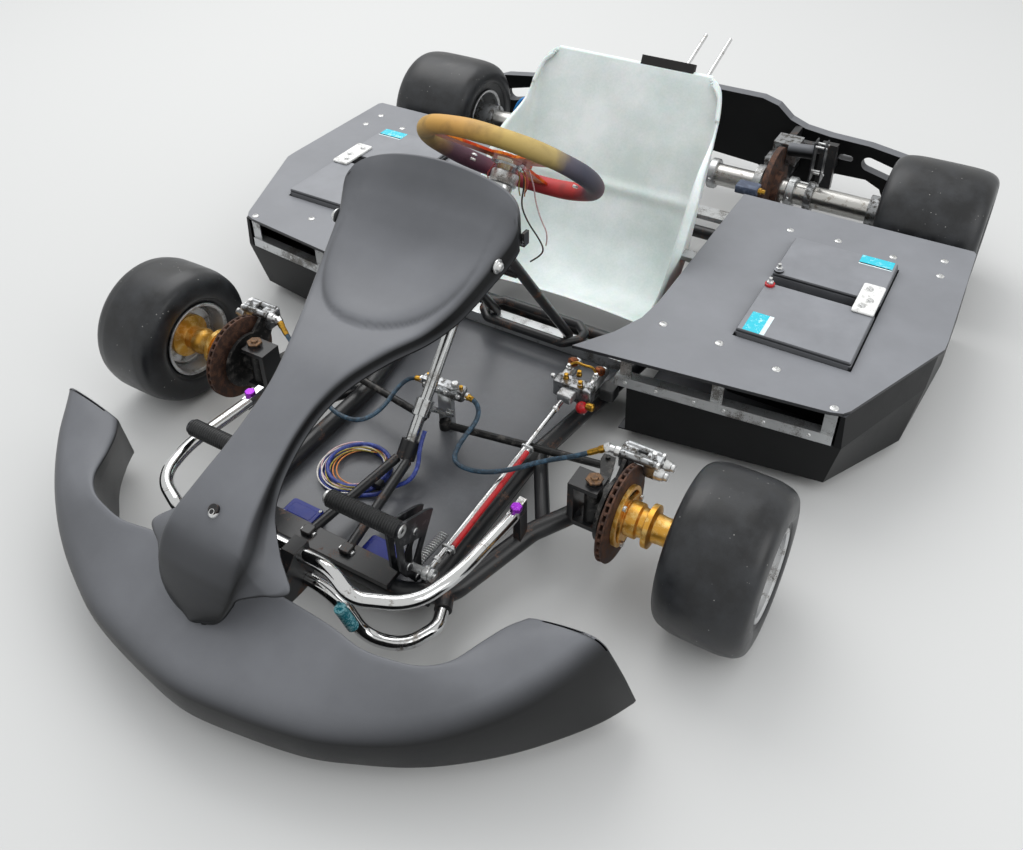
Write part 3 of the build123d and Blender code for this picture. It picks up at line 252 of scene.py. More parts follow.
def build(name, parts, ride, replaces=(), crease=38.0, blend=None, uv=None):
    """One object from (shape, finish) pairs: arrays into a mesh, doubles merged, one material per finish,
    and hung on its body unless blend is given.
    """
    mesh = bpy.data.meshes.new(name)
    starts = np.cumsum([0] + [len(shape[0]) for shape, _ in parts])
    points = np.concatenate([shape[0] for shape, _ in parts])
    faces = np.concatenate([shape[1] + start for (shape, _), start in zip(parts, starts)])
    mesh.from_pydata(to_row(points), [], faces.tolist())
    finishes = list(dict.fromkeys(finish for _, finish in parts))
    for finish in finishes:
        mesh.materials.append(material(finish))
    number = np.concatenate([np.full(len(shape[1]), finishes.index(finish)) for shape, finish in parts])
    mesh.polygons.foreach_set("material_index", number.astype(np.int32))
    if uv is not None:
        layer = mesh.uv_layers.new(name="along")
        layer.data.foreach_set("uv", uv[faces.ravel()].astype(np.float32).ravel())
    piece = placed(name, mesh)
    weld(mesh)
    mesh.polygons.foreach_set("use_smooth", np.ones(len(mesh.polygons), bool))
    mesh.set_sharp_from_angle(angle=math.radians(crease))
    if replaces:
        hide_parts(*replaces)
    if blend:
        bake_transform(piece)
    else:
        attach(piece, ride)
    return piece


def weld(mesh):
    """Merge points that coincide, which turns the collapsed faces at poles into triangles."""
    work = bmesh.new()
    work.from_mesh(mesh)
    bmesh.ops.remove_doubles(work, verts=work.verts, dist=2e-6)
    bmesh.ops.dissolve_degenerate(work, edges=work.edges, dist=1e-7)
    work.to_mesh(mesh)
    work.free()
    mesh.validate()


# Materials are trees of nodes; the helpers that take a tree add to it
def linear(code):
    """An sRGB hex colour as linear red, green, blue and alpha."""
    parts = [int(code[k : k + 2], 16) / 255 for k in (1, 3, 5)]
    return [p / 12.92 if p <= 0.04045 else ((p + 0.055) / 1.055) ** 2.4 for p in parts] + [1.0]


def node(tree, kind, links=None, **settings):
    """Add a node, set its attributes, and set or link its inputs by name or number."""
    made = tree.nodes.new("ShaderNode" + kind)
    for name, value in settings.items():
        setattr(made, name, value)
    for name, value in (links or {}).items():
        if isinstance(value, bpy.types.NodeSocket):
            tree.links.new(value, made.inputs[name])
        else:
            made.inputs[name].default_value = value
    return made


def noise(tree, place, size, detail, **more):
    """Noise whose pattern has a size in mm."""
    links = {"Vector": place, "Scale": 1000.0 / size, "Detail": detail, **more}
    return node(tree, "TexNoise", links).outputs["Fac"]


def maths(tree, operation, *values):
    """A sum, product or the like of two or three values."""
    return node(tree, "Math", dict(enumerate(values)), operation=operation).outputs[0]


def ranged(tree, value, low, high, to_low=0.0, to_high=1.0):
    """A value carried from one range into another, and held inside it."""
    return node(tree, "MapRange", {"Value": value, "From Min": low, "From Max": high, "To Min": to_low,
                                   "To Max": to_high}).outputs[0]


def mixed(tree, factor, one, other):
    """Two colours mixed; each is a hex code, a list or another node's output."""
    one, other = (linear(colour) if isinstance(colour, str) else colour for colour in (one, other))
    return node(tree, "Mix", {"Factor": factor, 6: one, 7: other}, data_type="RGBA").outputs[2]


def bumped(tree, height, strength, distance, **more):
    """A normal raised by a pattern; distance is in metres."""
    links = {"Height": height, "Strength": strength, "Distance": distance, **more}
    return node(tree, "Bump", links).outputs[0]


def new_material(name):
    """A new node material: its tree, emptied, and the place in object space as an output."""
    made = bpy.data.materials.new(name)
    made.use_nodes = True
    made.node_tree.nodes.clear()
    return made.node_tree, node(made.node_tree, "TexCoord").outputs["Object"]


def shaded(tree, colour, rough, **sockets):
    """End a tree in one principled shader; an underscore stands for the space in a socket's name."""
    sockets = {name.replace("_", " "): value for name, value in sockets.items()}
    shader = node(tree, "BsdfPrincipled", {"Base Color": colour, "Roughness": rough, **sockets})
    node(tree, "OutputMaterial", {"Surface": shader.outputs[0]})


# Road dust that settles on upward faces, also standing for painted sky sheen on them, and how round an edge
# looks, in metres
DUST_AND_SHEEN = "#a3a5aa"
SOFT_EDGE = 0.0012


def worn(name, base, wear, share, patch, grain, rough, worn_rough, metallic=0.0, bump=0.0, edge=0.0,
         streak=0.0, blur=0.12, dust_and_sheen=0.0, specular=0.5):
    """A finish with wear: two noises, fine streaks and rubbed edges mix a base colour with a worn one.

    share is how much is worn, patch and grain are sizes in mm, rough and worn_rough are the roughness when
    fresh and when worn, edge and streak are how strongly edges and scratches show, blur is how softly the
    two colours meet, and the dust amount is how thickly pale colour lies on the faces that look up, as road
    dust and as painted sky sheen: the upward part of the normal, from 0.1 to 0.9, times an evened noise.
    """
    tree, place = new_material(name)
    patches = noise(tree, place, patch, 6.0, Roughness=0.62)
    grains = noise(tree, place, grain, 3.0)
    low = 0.93 - share * 0.5
    mask = ranged(tree, maths(tree, "MULTIPLY_ADD", grains, 0.45, patches), low, low + blur)
    if streak:
        squeezed = node(tree, "Mapping", {"Vector": place, "Scale": (6.0, 210.0, 60.0),
                                          "Rotation": (0.3, 0.2, 0.5)}).outputs[0]
        thin = ranged(tree, noise(tree, squeezed, 1000.0, 4.0), 0.64, 0.74, 0.0, streak)
        mask = maths(tree, "MAXIMUM", mask, thin)
    soft = node(tree, "Bevel", {"Radius": SOFT_EDGE}, samples=4).outputs[0]
    if edge:
        true = node(tree, "NewGeometry").outputs["Normal"]
        bent = node(tree, "VectorMath", {0: soft, 1: true}, operation="DOT_PRODUCT").outputs["Value"]
        broken = maths(tree, "MULTIPLY", ranged(tree, bent, 0.995, 0.9, 0.0, edge), patches)
        mask = maths(tree, "MAXIMUM", mask, broken)
    colour = mixed(tree, mask, base, wear)
    # Upward faces lightened: real road dust, and painted sheen of the sky on the tops
    if dust_and_sheen:
        facing = node(tree, "SeparateXYZ", {0: node(tree, "TexCoord").outputs["Normal"]}).outputs[2]
        top_dust_and_sheen = ranged(tree, facing, 0.1, 0.9, 0.0, dust_and_sheen * 1.6)
        even = ranged(tree, patches, 0.25, 0.75, 0.45, 0.58)
        colour = mixed(tree, maths(tree, "MULTIPLY", top_dust_and_sheen, even), colour, DUST_AND_SHEEN)
    gloss = ranged(tree, mask, 0.0, 1.0, rough, worn_rough)
    raised = bumped(tree, grains, bump, grain / 4000.0, Normal=soft)
    shaded(tree, colour, gloss, Metallic=metallic, Normal=raised, Specular_IOR_Level=specular)


def slick_rubber(name):
    """Vulcanised tyre rubber, moulded and then scrubbed: near black, dusty, with pale grit stuck to it.

    Grit is a Voronoi cell's middle, kept where a wider noise is high.
    """
    tree, place = new_material(name)
    haze = ranged(tree, noise(tree, place, 45, 7.0, Roughness=0.65), 0.40, 0.70)
    grit = node(tree, "TexVoronoi", {"Vector": place, "Scale": 1000.0 / 9.0, "Randomness": 1.0})
    dots = ranged(tree, grit.outputs["Distance"], 0.13, 0.08)
    specks = maths(tree, "MULTIPLY", dots, ranged(tree, noise(tree, place, 30, 2.0), 0.56, 0.62))
    colour = mixed(tree, specks, mixed(tree, haze, "#17181a", "#2a2c2f"), "#8d8c88")
    raised = bumped(tree, noise(tree, place, 2.2, 2.0), 0.15, 0.0005)
    shaded(tree, colour, ranged(tree, haze, 0.0, 1.0, 0.34, 0.5), Normal=raised, IOR=1.5)


def seat_fibreglass(name):
    """Hand-laid glass fibre in clear resin, gelled on one side: milky green, mottled, lets light in."""
    tree, place = new_material(name)
    strands = noise(tree, place, 5, 6.0, Roughness=0.7)
    shade = maths(tree, "MULTIPLY_ADD", strands, 0.35, noise(tree, place, 120, 4.0))
    colour = mixed(tree, ranged(tree, shade, 0.50, 0.85), "#d3dfda", "#f2f6f4")
    shaded(tree, colour, ranged(tree, strands, 0.0, 1.0, 0.22, 0.42),
           Normal=bumped(tree, strands, 0.12, 0.0012), Transmission_Weight=0.12, IOR=1.46,
           Subsurface_Weight=0.2, Subsurface_Scale=0.01)


# The grip's dyes: how far round each is, in turns from the wheel's right end over the top, and its colour
DYES = ((0.0, "#4a464e"), (0.05, "#40414f"), (0.085, "#544f5a"), (0.11, "#a8935a"), (0.19, "#b59a55"),
        (0.27, "#bd8f48"), (0.34, "#bd9042"), (0.42, "#b0914a"), (0.49, "#8f6f40"), (0.54, "#4c2f3c"),
        (0.62, "#4a2234"), (0.70, "#7a2430"), (0.76, "#a52a2c"), (0.85, "#b0302c"), (0.91, "#6a3440"),
        (1.0, "#4a464e"))


def grip_sleeve(name):
    """Foam grip in a heat-shrunk sleeve, dyed in zones and faded: olive, grey, plum and red mingle.

    The UV map's first number goes once round the wheel, and a noise shifts it a little.
    """
    tree, place = new_material(name)
    turn = node(tree, "SeparateXYZ", {0: node(tree, "UVMap", uv_map="along").outputs[0]}).outputs[0]
    blot = noise(tree, place, 28, 5.0)
    spot = maths(tree, "ADD", turn, maths(tree, "MULTIPLY_ADD", blot, 0.03, -0.015))
    ramp = node(tree, "ValToRGB", {"Fac": spot})
    stops = ramp.color_ramp.elements
    while len(stops) < len(DYES):
        stops.new(0.5)
    for stop, (where, code) in zip(stops, DYES):
        stop.position, stop.color = where, linear(code)
    colour = mixed(tree, ranged(tree, blot, 0.5, 0.75, 0.0, 0.35), ramp.outputs[0], "#3a2f2c")
    shaded(tree, colour, 0.62, Normal=bumped(tree, noise(tree, place, 1.6, 2.0), 0.3, 0.0006))


# Each finish: what it is and how it was made, then base colour, worn colour, share worn, patch and grain
# in mm, roughness fresh and worn, and what else worn() needs
# The dust setting lightens upward faces, as road dust and as painted sky sheen
FINISHES = {
    "slick_rubber": slick_rubber,
    "seat_fibreglass": seat_fibreglass,
    "grip_sleeve": grip_sleeve,
    # Polyethylene body panel, rotationally moulded: matt black with a broad soft sheen, partly painted on
    # upward faces, scuffed grey
    "moulded_plastic": ("#101112", "#1b1c1e", 0.42, 150, 1.4, 0.36, 0.50,
                        dict(bump=0.12, streak=0.2, blur=0.35, dust_and_sheen=0.42, specular=0.22)),
    # Bumper, blow moulded, deep black
    "bumper_plastic": ("#08090a", "#121314", 0.42, 120, 1.4, 0.40, 0.55,
                       dict(bump=0.1, blur=0.35, dust_and_sheen=0.42, specular=0.2)),
    # Black rigid sheet for decks, sawn and drilled: dark grey, dusty with a strong painted sky sheen on top,
    # fine scratches
    "deck_sheet": ("#2a2b2d", "#38393b", 0.45, 160, 1.2, 0.44, 0.60,
                   dict(bump=0.06, edge=0.6, streak=0.3, blur=0.35, dust_and_sheen=0.56)),
    # Bent black sheet of the bays: smoother, wet-looking low down
    "bay_sheet": ("#0f1011", "#1c1d1e", 0.40, 140, 2.0, 0.38, 0.55,
                  dict(bump=0.05, edge=0.4, streak=0.15, blur=0.35, dust_and_sheen=0.2, specular=0.15)),
    # Steel tube, powder coated black: chipped to rust on edges
    "painted_tube": ("#18191b", "#5a4032", 0.22, 30, 2.5, 0.34, 0.7, dict(bump=0.1, edge=0.6)),
    # Steel bar, chromium plated: mirror with dull spots and a few rust freckles
    "plated_bar": ("#d8d9da", "#8c8680", 0.24, 22, 3.0, 0.10, 0.35, dict(metallic=1.0, bump=0.02)),
    # Steel shaft, drawn and plated, finely scratched
    "plated_shaft": ("#c9cbcc", "#8a8783", 0.35, 25, 1.5, 0.18, 0.4,
                     dict(metallic=1.0, bump=0.04, streak=0.4)),
    # Aluminium as it came from the mill, rubbed and dirty
    "mill_aluminium": ("#c3c5c6", "#7d7b78", 0.40, 40, 1.5, 0.34, 0.55,
                       dict(metallic=0.9, bump=0.05, edge=0.3, streak=0.5)),
    # Cast and turned wheel alloy, dusty grey
    "wheel_alloy": ("#cbcccd", "#86837f", 0.34, 26, 1.2, 0.32, 0.6, dict(metallic=0.9, bump=0.12)),
    # Machined caliper alloy with oily dirt in its corners
    "caliper_alloy": ("#a3a5a7", "#4c4843", 0.45, 12, 1.0, 0.28, 0.6, dict(metallic=0.9, bump=0.1)),
    # Hub turned from aluminium bar and anodised gold: orange glow with rubbed yellow edges
    "gold_anodised": ("#dfa544", "#f0cc82", 0.45, 14, 1.0, 0.34, 0.5,
                      dict(metallic=0.85, bump=0.03, edge=0.8)),
    # Cast iron brake disc: brown film of rust
    "rusty_iron": ("#3d2b24", "#624536", 0.50, 10, 1.2, 0.6, 0.8, dict(metallic=0.35, bump=0.25)),
    # Rusted brown washer on each kingpin
    "brown_steel": ("#5a4534", "#8a6a4c", 0.50, 6, 0.8, 0.55, 0.8, dict(metallic=0.4, bump=0.2)),
    # Blackened steel of knuckles and tie rods, greasy
    "black_steel": ("#232323", "#575451", 0.36, 14, 1.2, 0.35, 0.6, dict(metallic=0.5, bump=0.12, edge=0.8)),
    # Gun-metal pedal plate, cut and zinc plated dark
    "gun_metal": ("#2c2d30", "#6e6f72", 0.30, 18, 1.0, 0.32, 0.5, dict(metallic=0.7, bump=0.05, edge=0.9)),
    # Bright zinc on screws and nuts
    "bright_zinc": ("#dedfdf", "#a5a29c", 0.26, 4, 0.5, 0.30, 0.5, dict(metallic=0.9)),
    # Brass fitting, turned
    "brass": ("#c99a3e", "#8a6a34", 0.35, 5, 0.6, 0.28, 0.5, dict(metallic=1.0)),
    # Copper-brown knob, anodised and faded
    "copper_knob": ("#8c4a22", "#4c3224", 0.45, 5, 0.8, 0.4, 0.65, dict(metallic=0.6, bump=0.2)),
    # Red moulded plastic
    "red_plastic": ("#b3141c", "#7c1c1e", 0.35, 9, 0.8, 0.3, 0.5, {}),
    # Purple anodised nut
    "purple_anodised": ("#8c2fb0", "#b06ac8", 0.30, 5, 0.6, 0.25, 0.45, dict(metallic=0.9, edge=0.5)),
    # Teal adhesive tape, a little crumpled
    "teal_tape": ("#1c6f7c", "#7fb8bf", 0.45, 6, 1.5, 0.25, 0.5, dict(bump=0.4)),
    # Blue box, injection moulded
    "blue_box": ("#0c1d74", "#22317c", 0.35, 16, 1.0, 0.34, 0.5, dict(bump=0.05, specular=0.3)),
    # Dark steel floor, painted, trodden bare in patches
    "floor_sheet": ("#1f2124", "#3c3e42", 0.36, 70, 2.0, 0.34, 0.5,
                    dict(metallic=0.1, bump=0.06, streak=0.35, blur=0.3, dust_and_sheen=0.25)),
    # Battery case, moulded, dusty with a painted sky sheen on its lid
    "battery_shell": ("#1f2022", "#303133", 0.40, 60, 1.2, 0.36, 0.5,
                      dict(bump=0.05, edge=0.4, blur=0.3, dust_and_sheen=0.62)),
    # Glossy printed labels, plain colour
    "cyan_label": ("#28b6c8", "#9fdbe2", 0.32, 12, 2.0, 0.25, 0.4, {}),
    "pale_label": ("#c9dcdf", "#e4ecec", 0.40, 8, 2.0, 0.3, 0.4, {}),
    # White cover of the bus bar, moulded plastic
    "white_cover": ("#d9d9d6", "#a9a8a4", 0.35, 14, 1.5, 0.35, 0.5, dict(edge=0.3)),
    # Braided hose cover, then extruded plastic jackets of cable, hose and wires
    "hose_cover": ("#20323f", "#39566a", 0.45, 8, 1.2, 0.4, 0.55, dict(bump=0.5)),
    "blue_jacket": ("#26357c", "#4656a4", 0.40, 9, 1.0, 0.38, 0.55, dict(bump=0.1)),
    "sky_hose": ("#2c7fc4", "#5aa2dc", 0.35, 9, 1.0, 0.3, 0.45, {}),
    "dark_wire": ("#2a2620", "#4a4234", 0.40, 4, 0.6, 0.45, 0.6, {}),
    "yellow_wire": ("#8f7f2c", "#b3a24a", 0.40, 4, 0.6, 0.45, 0.6, {}),
    "pale_wire": ("#cfa9ab", "#e2c8c6", 0.40, 4, 0.6, 0.45, 0.6, {}),
    "red_wire": ("#b03a34", "#c9645c", 0.40, 4, 0.6, 0.4, 0.6, {}),
    "orange_wire": ("#cf7a34", "#e09c60", 0.40, 4, 0.6, 0.4, 0.6, {}),
    "white_wire": ("#cfcbc4", "#e2dfda", 0.40, 4, 0.6, 0.4, 0.6, {}),
    # Moulded black rubber of sleeves, valves and boots
    "soft_rubber": ("#191a1b", "#2e2f30", 0.40, 12, 1.0, 0.45, 0.6, dict(bump=0.2, blur=0.3)),
    # Steering plate, anodised orange with rubbed yellow edges
    "orange_plate": ("#c23a16", "#e8922c", 0.42, 34, 1.2, 0.3, 0.42,
                     dict(metallic=0.6, edge=1.0, bump=0.03)),
    # Axle: steel tube, ground, with a brown bloom
    "ground_steel": ("#c4c3c0", "#857a6e", 0.24, 16, 1.2, 0.28, 0.55,
                     dict(metallic=1.0, bump=0.05, streak=0.2)),
    # Grey-blue plastic connector block, moulded
    "rear_block": ("#3c4558", "#5c6678", 0.40, 12, 1.0, 0.4, 0.55, {}),
    # Soot-black paint of the motor and the seat's rods, and painted shade that fills the disc's holes
    "pitch_black": ("#0b0b0c", "#161617", 0.30, 20, 1.0, 0.6, 0.7, {}),
}

# Finishes of the frame's pieces that aren't replaced
CAD_FINISHES = {
    "painted_tube": ("frame", "column_support", "pedal_mount", "nose_clamps", "bumper_brackets",
                     "seat_front_loop"),
    "plated_shaft": ("steering_shaft",),
    "black_steel": ("knuckle_left", "knuckle_right", "tie_rod_left", "tie_rod_right"),
    "gun_metal": ("brake_pedal", "throttle_pedal"),
    "plated_bar": ("front_bumper_bars",),
    "mill_aluminium": ("cross_beam", "bay_frames", "axle_bearings"),
    "floor_sheet": ("floor_tray",),
    "orange_plate": ("steering_wheel_spokes",),
    "deck_sheet": ("deck_plates",),
    "bay_sheet": ("side_bays",),
    "ground_steel": ("rear_axle",),
    "rusty_iron": ("sprocket", "rear_brake_disc"),
    "caliper_alloy": ("rear_hubs", "rear_caliper"),
    "bumper_plastic": ("rear_bumper",),
    "pitch_black": ("motor", "seat_rods"),
}


def material(name):
    """The material of a finish, made when it is first asked for."""
    if name not in bpy.data.materials:
        finish = FINISHES[name]
        if callable(finish):
            finish(name)
        else:
            worn(name, *finish[:-1], **finish[-1])
    return bpy.data.materials[name]


# Settings that a user would change
def length(name, description, default, low=0.001):
    """A length in metres with its least value."""
    return bpy.props.FloatProperty(
        name=name, description=description, default=default, min=low, unit="LENGTH")


def colour(name, description, code):
    """A colour that starts from a hex code."""
    return bpy.props.FloatVectorProperty(
        name=name, description=description, default=linear(code)[:3], min=0, max=1, subtype="COLOR")


class KartSizes(bpy.types.PropertyGroup):
    """Sizes of the dressed pieces."""

    panel_wall: length("Panel wall", "Thickness of the front panel", 0.004)
    cable: length("Floor cable", "Diameter of the blue cable", 0.007, 0.002)
    dark_wire: length("Dark wire", "Diameter of the dark wheel wire", 0.003)
    pale_wire: length("Pale wire", "Diameter of the pale wheel wire", 0.0025)
    screw_head: length("Deck screw", "Radius of a deck screw's head", 0.0074, 0.002)


class KartColours(bpy.types.PropertyGroup):
    """Colours of the stage."""

    floor: colour("Floor", "Colour of the floor", "#bdbdbb")
    sky: colour("Sky", "Colour that lights the kart", "#f2f4f7")


def free_cord(name, points, diameter, finish, ride, slot, replaces, **said):
    """A free cord: one open NURBS spline of order 3 through the control points of its CAD route."""
    curve = bpy.data.curves.new(name, "CURVE")
    curve.dimensions = "3D"
    curve.bevel_depth = diameter / 2
    curve.bevel_resolution = 4
    curve.use_fill_caps = True
    curve.resolution_u = 10
    spline = curve.splines.new("NURBS")
    spline.points.add(len(points) - 1)
    rows = np.concatenate((to_row(points), np.ones((len(points), 1))), 1)
    spline.points.foreach_set("co", rows.ravel())
    spline.order_u = 3
    spline.use_endpoint_u = True
    curve.materials.append(material(finish))
    piece = placed(name, curve)
    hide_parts(*replaces)
    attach(piece, ride)


# The cable's way down from the column's bearing, then its coil: centre, first angle, points in a turn
# and in all, and radius and height by the number of turns done
CABLE_LEAD = [(18.0, 10.0, 119.0), (19.0, -9.0, 100.0), (34.0, -35.0, 86.0), (33.0, -58.0, 72.0),
              (10.0, -76.0, 62.0), (-8.0, -95.0, 53.0)]
COIL_X, COIL_Y, COIL_START = -72, -64, -math.radians(42)
COIL_TURN, COIL_POINTS = 14, 42
COIL_RADIUS = ((0.0, 1.0, 2.0, 2.25, 3.0), (62.0, 54.0, 46.5, 46.5, 60.0))
COIL_HEIGHT = ((0.0, 1.9, 2.15, 3.0), (51.0, 51.2, 59.8, 61.5))


def coil_points():
    """The floor cable: its lead, then turns that shrink, rise and open again, a little out of round."""
    angle = COIL_START - np.arange(COIL_POINTS) * 2 * np.pi / COIL_TURN
    turned = (angle[0] - angle) / (2 * np.pi)
    radius = np.interp(turned, *COIL_RADIUS) + 1.2 * np.sin(angle * 2 + 0.6)
    turns = np.stack((COIL_X + radius * np.cos(angle), COIL_Y + radius * np.sin(angle),
                      np.interp(turned, *COIL_HEIGHT)), -1)
    return np.concatenate((CABLE_LEAD, turns))


WIRE_DARK = [(14.0, 341.2, 441.3), (10.0, 352.0, 408.0), (1.0, 352.0, 366.0), (16.0, 350.0, 336.0),
             (40.0, 350.0, 308.0), (50.0, 350.0, 288.0), (38.0, 350.0, 270.0), (22.0, 350.0, 256.0)]
WIRE_PALE = [(25.0, 339.2, 443.3), (29.0, 350.0, 410.0), (30.0, 352.0, 383.0), (41.0, 350.0, 351.0),
             (58.0, 350.0, 322.0), (53.0, 350.0, 299.0)]
# Thin cores that lie with the coil: how far each is moved, its size as a share of the coil, its finish
CORES = (((-6, 4, 7), 0.92, "pale_wire"), ((5, -3, 9), 0.86, "yellow_wire"),
         ((9, 5, 6), 0.80, "orange_wire"), ((-3, -7, 8), 0.96, "white_wire"))


class KART_OT_cords(bpy.types.Operator):
    """The blue cable on the floor, with its coloured cores, and the two wires under the steering wheel"""

    bl_idname = "kart.cords"
    bl_label = "Cords"

    def execute(self, context):
        sizes = context.scene.kart_sizes
        points = coil_points()
        end, half = points[-1], (9, 7, 5.5)
        plug = of("soft_rubber", box(end - half, end + half, 2.5, 1.0))
        block = build("cable_plug", plug, "chassis")
        ring = points[len(CABLE_LEAD) : 30]
        centre = ring.mean(0)
        loose = [(rod(flowing(centre + (ring - centre) * (size, size, 1) + shift), 1.2, 6), finish)
                 for shift, size, finish in CORES]
        ribbon = build("cable_cores", loose, "chassis")
        free_cord("floor_cable", points, sizes.cable, "blue_jacket", "chassis", "cable_blue",
                  ("cable_coil", "cable_lead"), length=1.13, far_end="connector", stiffness="medium",
                  lay="coiled", with_pieces=[block, ribbon])
        free_cord("wire_dark", WIRE_DARK, sizes.dark_wire, "dark_wire", "steering", "wire_dark",
                  ("wheel_wire_dark",), length=0.2, far_end="bare", stiffness="limp", lay="hanging")
        free_cord("wire_pale", WIRE_PALE, sizes.pale_wire, "pale_wire", "steering", "wire_pale",
                  ("wheel_wire_pale",), length=0.15, far_end="bare", stiffness="limp", lay="hanging")
        return {"FINISHED"}


# The stage, in metres: the floor's half width, its colour for light passed on, the background's colour,
# the sky's strength from level to high up, area lamps (name, place, turn, size, watts), and the camera
FLOOR_HALF = 60
FLOOR_PASSED_ON, PALE = "#77777a", "#e0e0de"
SKY_LEVEL, SKY_HIGH = 0.40, 1.65
LAMPS = (("lamp_high", (-1.6, 1.4, 3.2), (-0.42, -0.45, 0.0), 3.0, 70.0),
         ("lamp_side", (2.6, -0.6, 2.0), (0.2, 0.92, 0.0), 1.8, 18.0))
LENS, LENS_SHIFT = 34.15, (-0.0063, -0.106)
CAMERA_SPOT = (0.7374, -1.2872, 1.2013)
YAW, PITCH, ROLL = 0.530, 0.633, -0.007


def seen_plainly(tree):
    """One for what the camera, a mirror or glass shows, nought for light that is only passed on."""
    ray = node(tree, "LightPath").outputs
    direct = maths(tree, "MAXIMUM", ray["Is Camera Ray"], ray["Is Glossy Ray"])
    return maths(tree, "MAXIMUM", direct, ray["Is Transmission Ray"])


class KART_OT_stage(bpy.types.Operator):
    """The pale floor, the soft lamps, the even sky and the camera at the photograph's angle"""

    bl_idname = "kart.stage"
    bl_label = "Stage"

    def execute(self, context):
        context.scene.view_settings.view_transform = "Standard"
        colours = context.scene.kart_colours
        self.floor(colours.floor)
        self.sky(context.scene, colours.sky)
        for name, spot, turn, size, power in LAMPS:
            lamp = bpy.data.lights.new(name, "AREA")
            lamp.size, lamp.energy = size, power
            holder = placed(name, lamp)
            holder.location, holder.rotation_euler = spot, turn
        self.camera(context.scene)
        return {"FINISHED"}

    def floor(self, pale):
        """A square that shows one colour plainly, and another to the light that it passes on."""
        mesh = bpy.data.meshes.new("floor")
        corners = [(FLOOR_HALF * x, FLOOR_HALF * y, 0) for x, y in ((-1, -1), (1, -1), (1, 1), (-1, 1))]
        mesh.from_pydata(corners, [], [(0, 1, 2, 3)])
        placed("floor", mesh)
        tree, _ = new_material("pale_floor")
        tint = mixed(tree, seen_plainly(tree), FLOOR_PASSED_ON, list(pale) + [1.0])
        shaded(tree, tint, 0.85, Specular_IOR_Level=0.2)
        mesh.materials.append(bpy.data.materials["pale_floor"])

    def sky(self, scene, light):
        """A world that is pale where it shows, and lights the kart more from above than from the side."""
        scene.world = bpy.data.worlds.new("even_sky")
        scene.world.use_nodes = True
        tree = scene.world.node_tree
        tree.nodes.clear()
        way = node(tree, "SeparateXYZ", {0: node(tree, "TexCoord").outputs["Generated"]}).outputs[2]
        rise = ranged(tree, way, 0.0, 0.9, SKY_LEVEL, SKY_HIGH)
        lit = node(tree, "Background", {"Color": list(light) + [1.0], "Strength": rise})
        pale = node(tree, "Background", {"Color": linear(PALE), "Strength": 1.0})
        shown = node(tree, "MixShader", {0: seen_plainly(tree), 1: lit.outputs[0], 2: pale.outputs[0]})
        node(tree, "OutputWorld", {"Surface": shown.outputs[0]})

    def camera(self, scene):
        """The camera at the photograph's place: it looks along yaw and pitch, and rolls a little."""
        lens = bpy.data.cameras.new("camera")
        lens.sensor_width, lens.lens = 36.0, LENS
        lens.shift_x, lens.shift_y = LENS_SHIFT
        lens.clip_start, lens.clip_end = 0.05, 200
        back = np.array((math.sin(YAW) * math.cos(PITCH), -math.cos(YAW) * math.cos(PITCH), math.sin(PITCH)))
        right = np.array((math.cos(YAW), math.sin(YAW), 0.0))
        up = np.cross(back, right)
        axes = (math.cos(ROLL) * right + math.sin(ROLL) * up,
                math.cos(ROLL) * up - math.sin(ROLL) * right, back)
        scene.camera = placed("camera", lens)
        scene.camera.matrix_world = Matrix.Translation(CAMERA_SPOT) @ Matrix(axes).transposed().to_4x4()


class KART_OT_cad_finishes(bpy.types.Operator):
    """Finishes for the frame pieces that stay as they are"""

    bl_idname = "kart.cad_finishes"
    bl_label = "Frame finishes"

    def execute(self, context):
        for finish, nodes in CAD_FINISHES.items():
            for name in nodes:
                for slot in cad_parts[name].material_slots:
                    slot.material = material(finish)
        return {"FINISHED"}


# A tyre's outside: its side wall as (mm in from the side, mm below the crown), its shoulder as (shares of
# the shoulder in from the side, mm below the crown), and its bead as (mm in, radius)
WALL_DROP = ((1.8, 21.0), (0.1, 33.0), (0.4, 42.0), (2.6, 48.0), (4.2, 49.4), (5.4, 52.0))
SHOULDER_DROP = ((1.05, 2.0), (0.55, 5.5), (0.22, 12.0))
BEAD = ((9.0, 69.5), (11.0, 66.2), (14.0, 65.2), (26.0, 65.2))
BEAD_RADIUS, TYRE_WALL = 88.0, 15.0


def tyre_profile(width, radius, shoulder):
    """Half of a slick tyre from the crown to the bead, mirrored, with its inner wall: (across, radius)."""
    half = width / 2
    crown = [(0, 0), (half * 0.45, 0.4)] + [(half - shoulder * share, drop) for share, drop in SHOULDER_DROP]
    outer = [(x, radius - drop) for x, drop in crown + [(half - x, drop) for x, drop in WALL_DROP]]
    inner = half - TYRE_WALL
    rest = [(half - x, r) for x, r in BEAD] + [
        (inner, BEAD_RADIUS), (inner, radius - shoulder), (half - shoulder, radius - TYRE_WALL),
        (0, radius - TYRE_WALL)]
    smooth = smooth_rows(outer, 34).tolist() + rest
    return np.array(smooth + [(-x, r) for x, r in smooth[::-1] if x > 0])


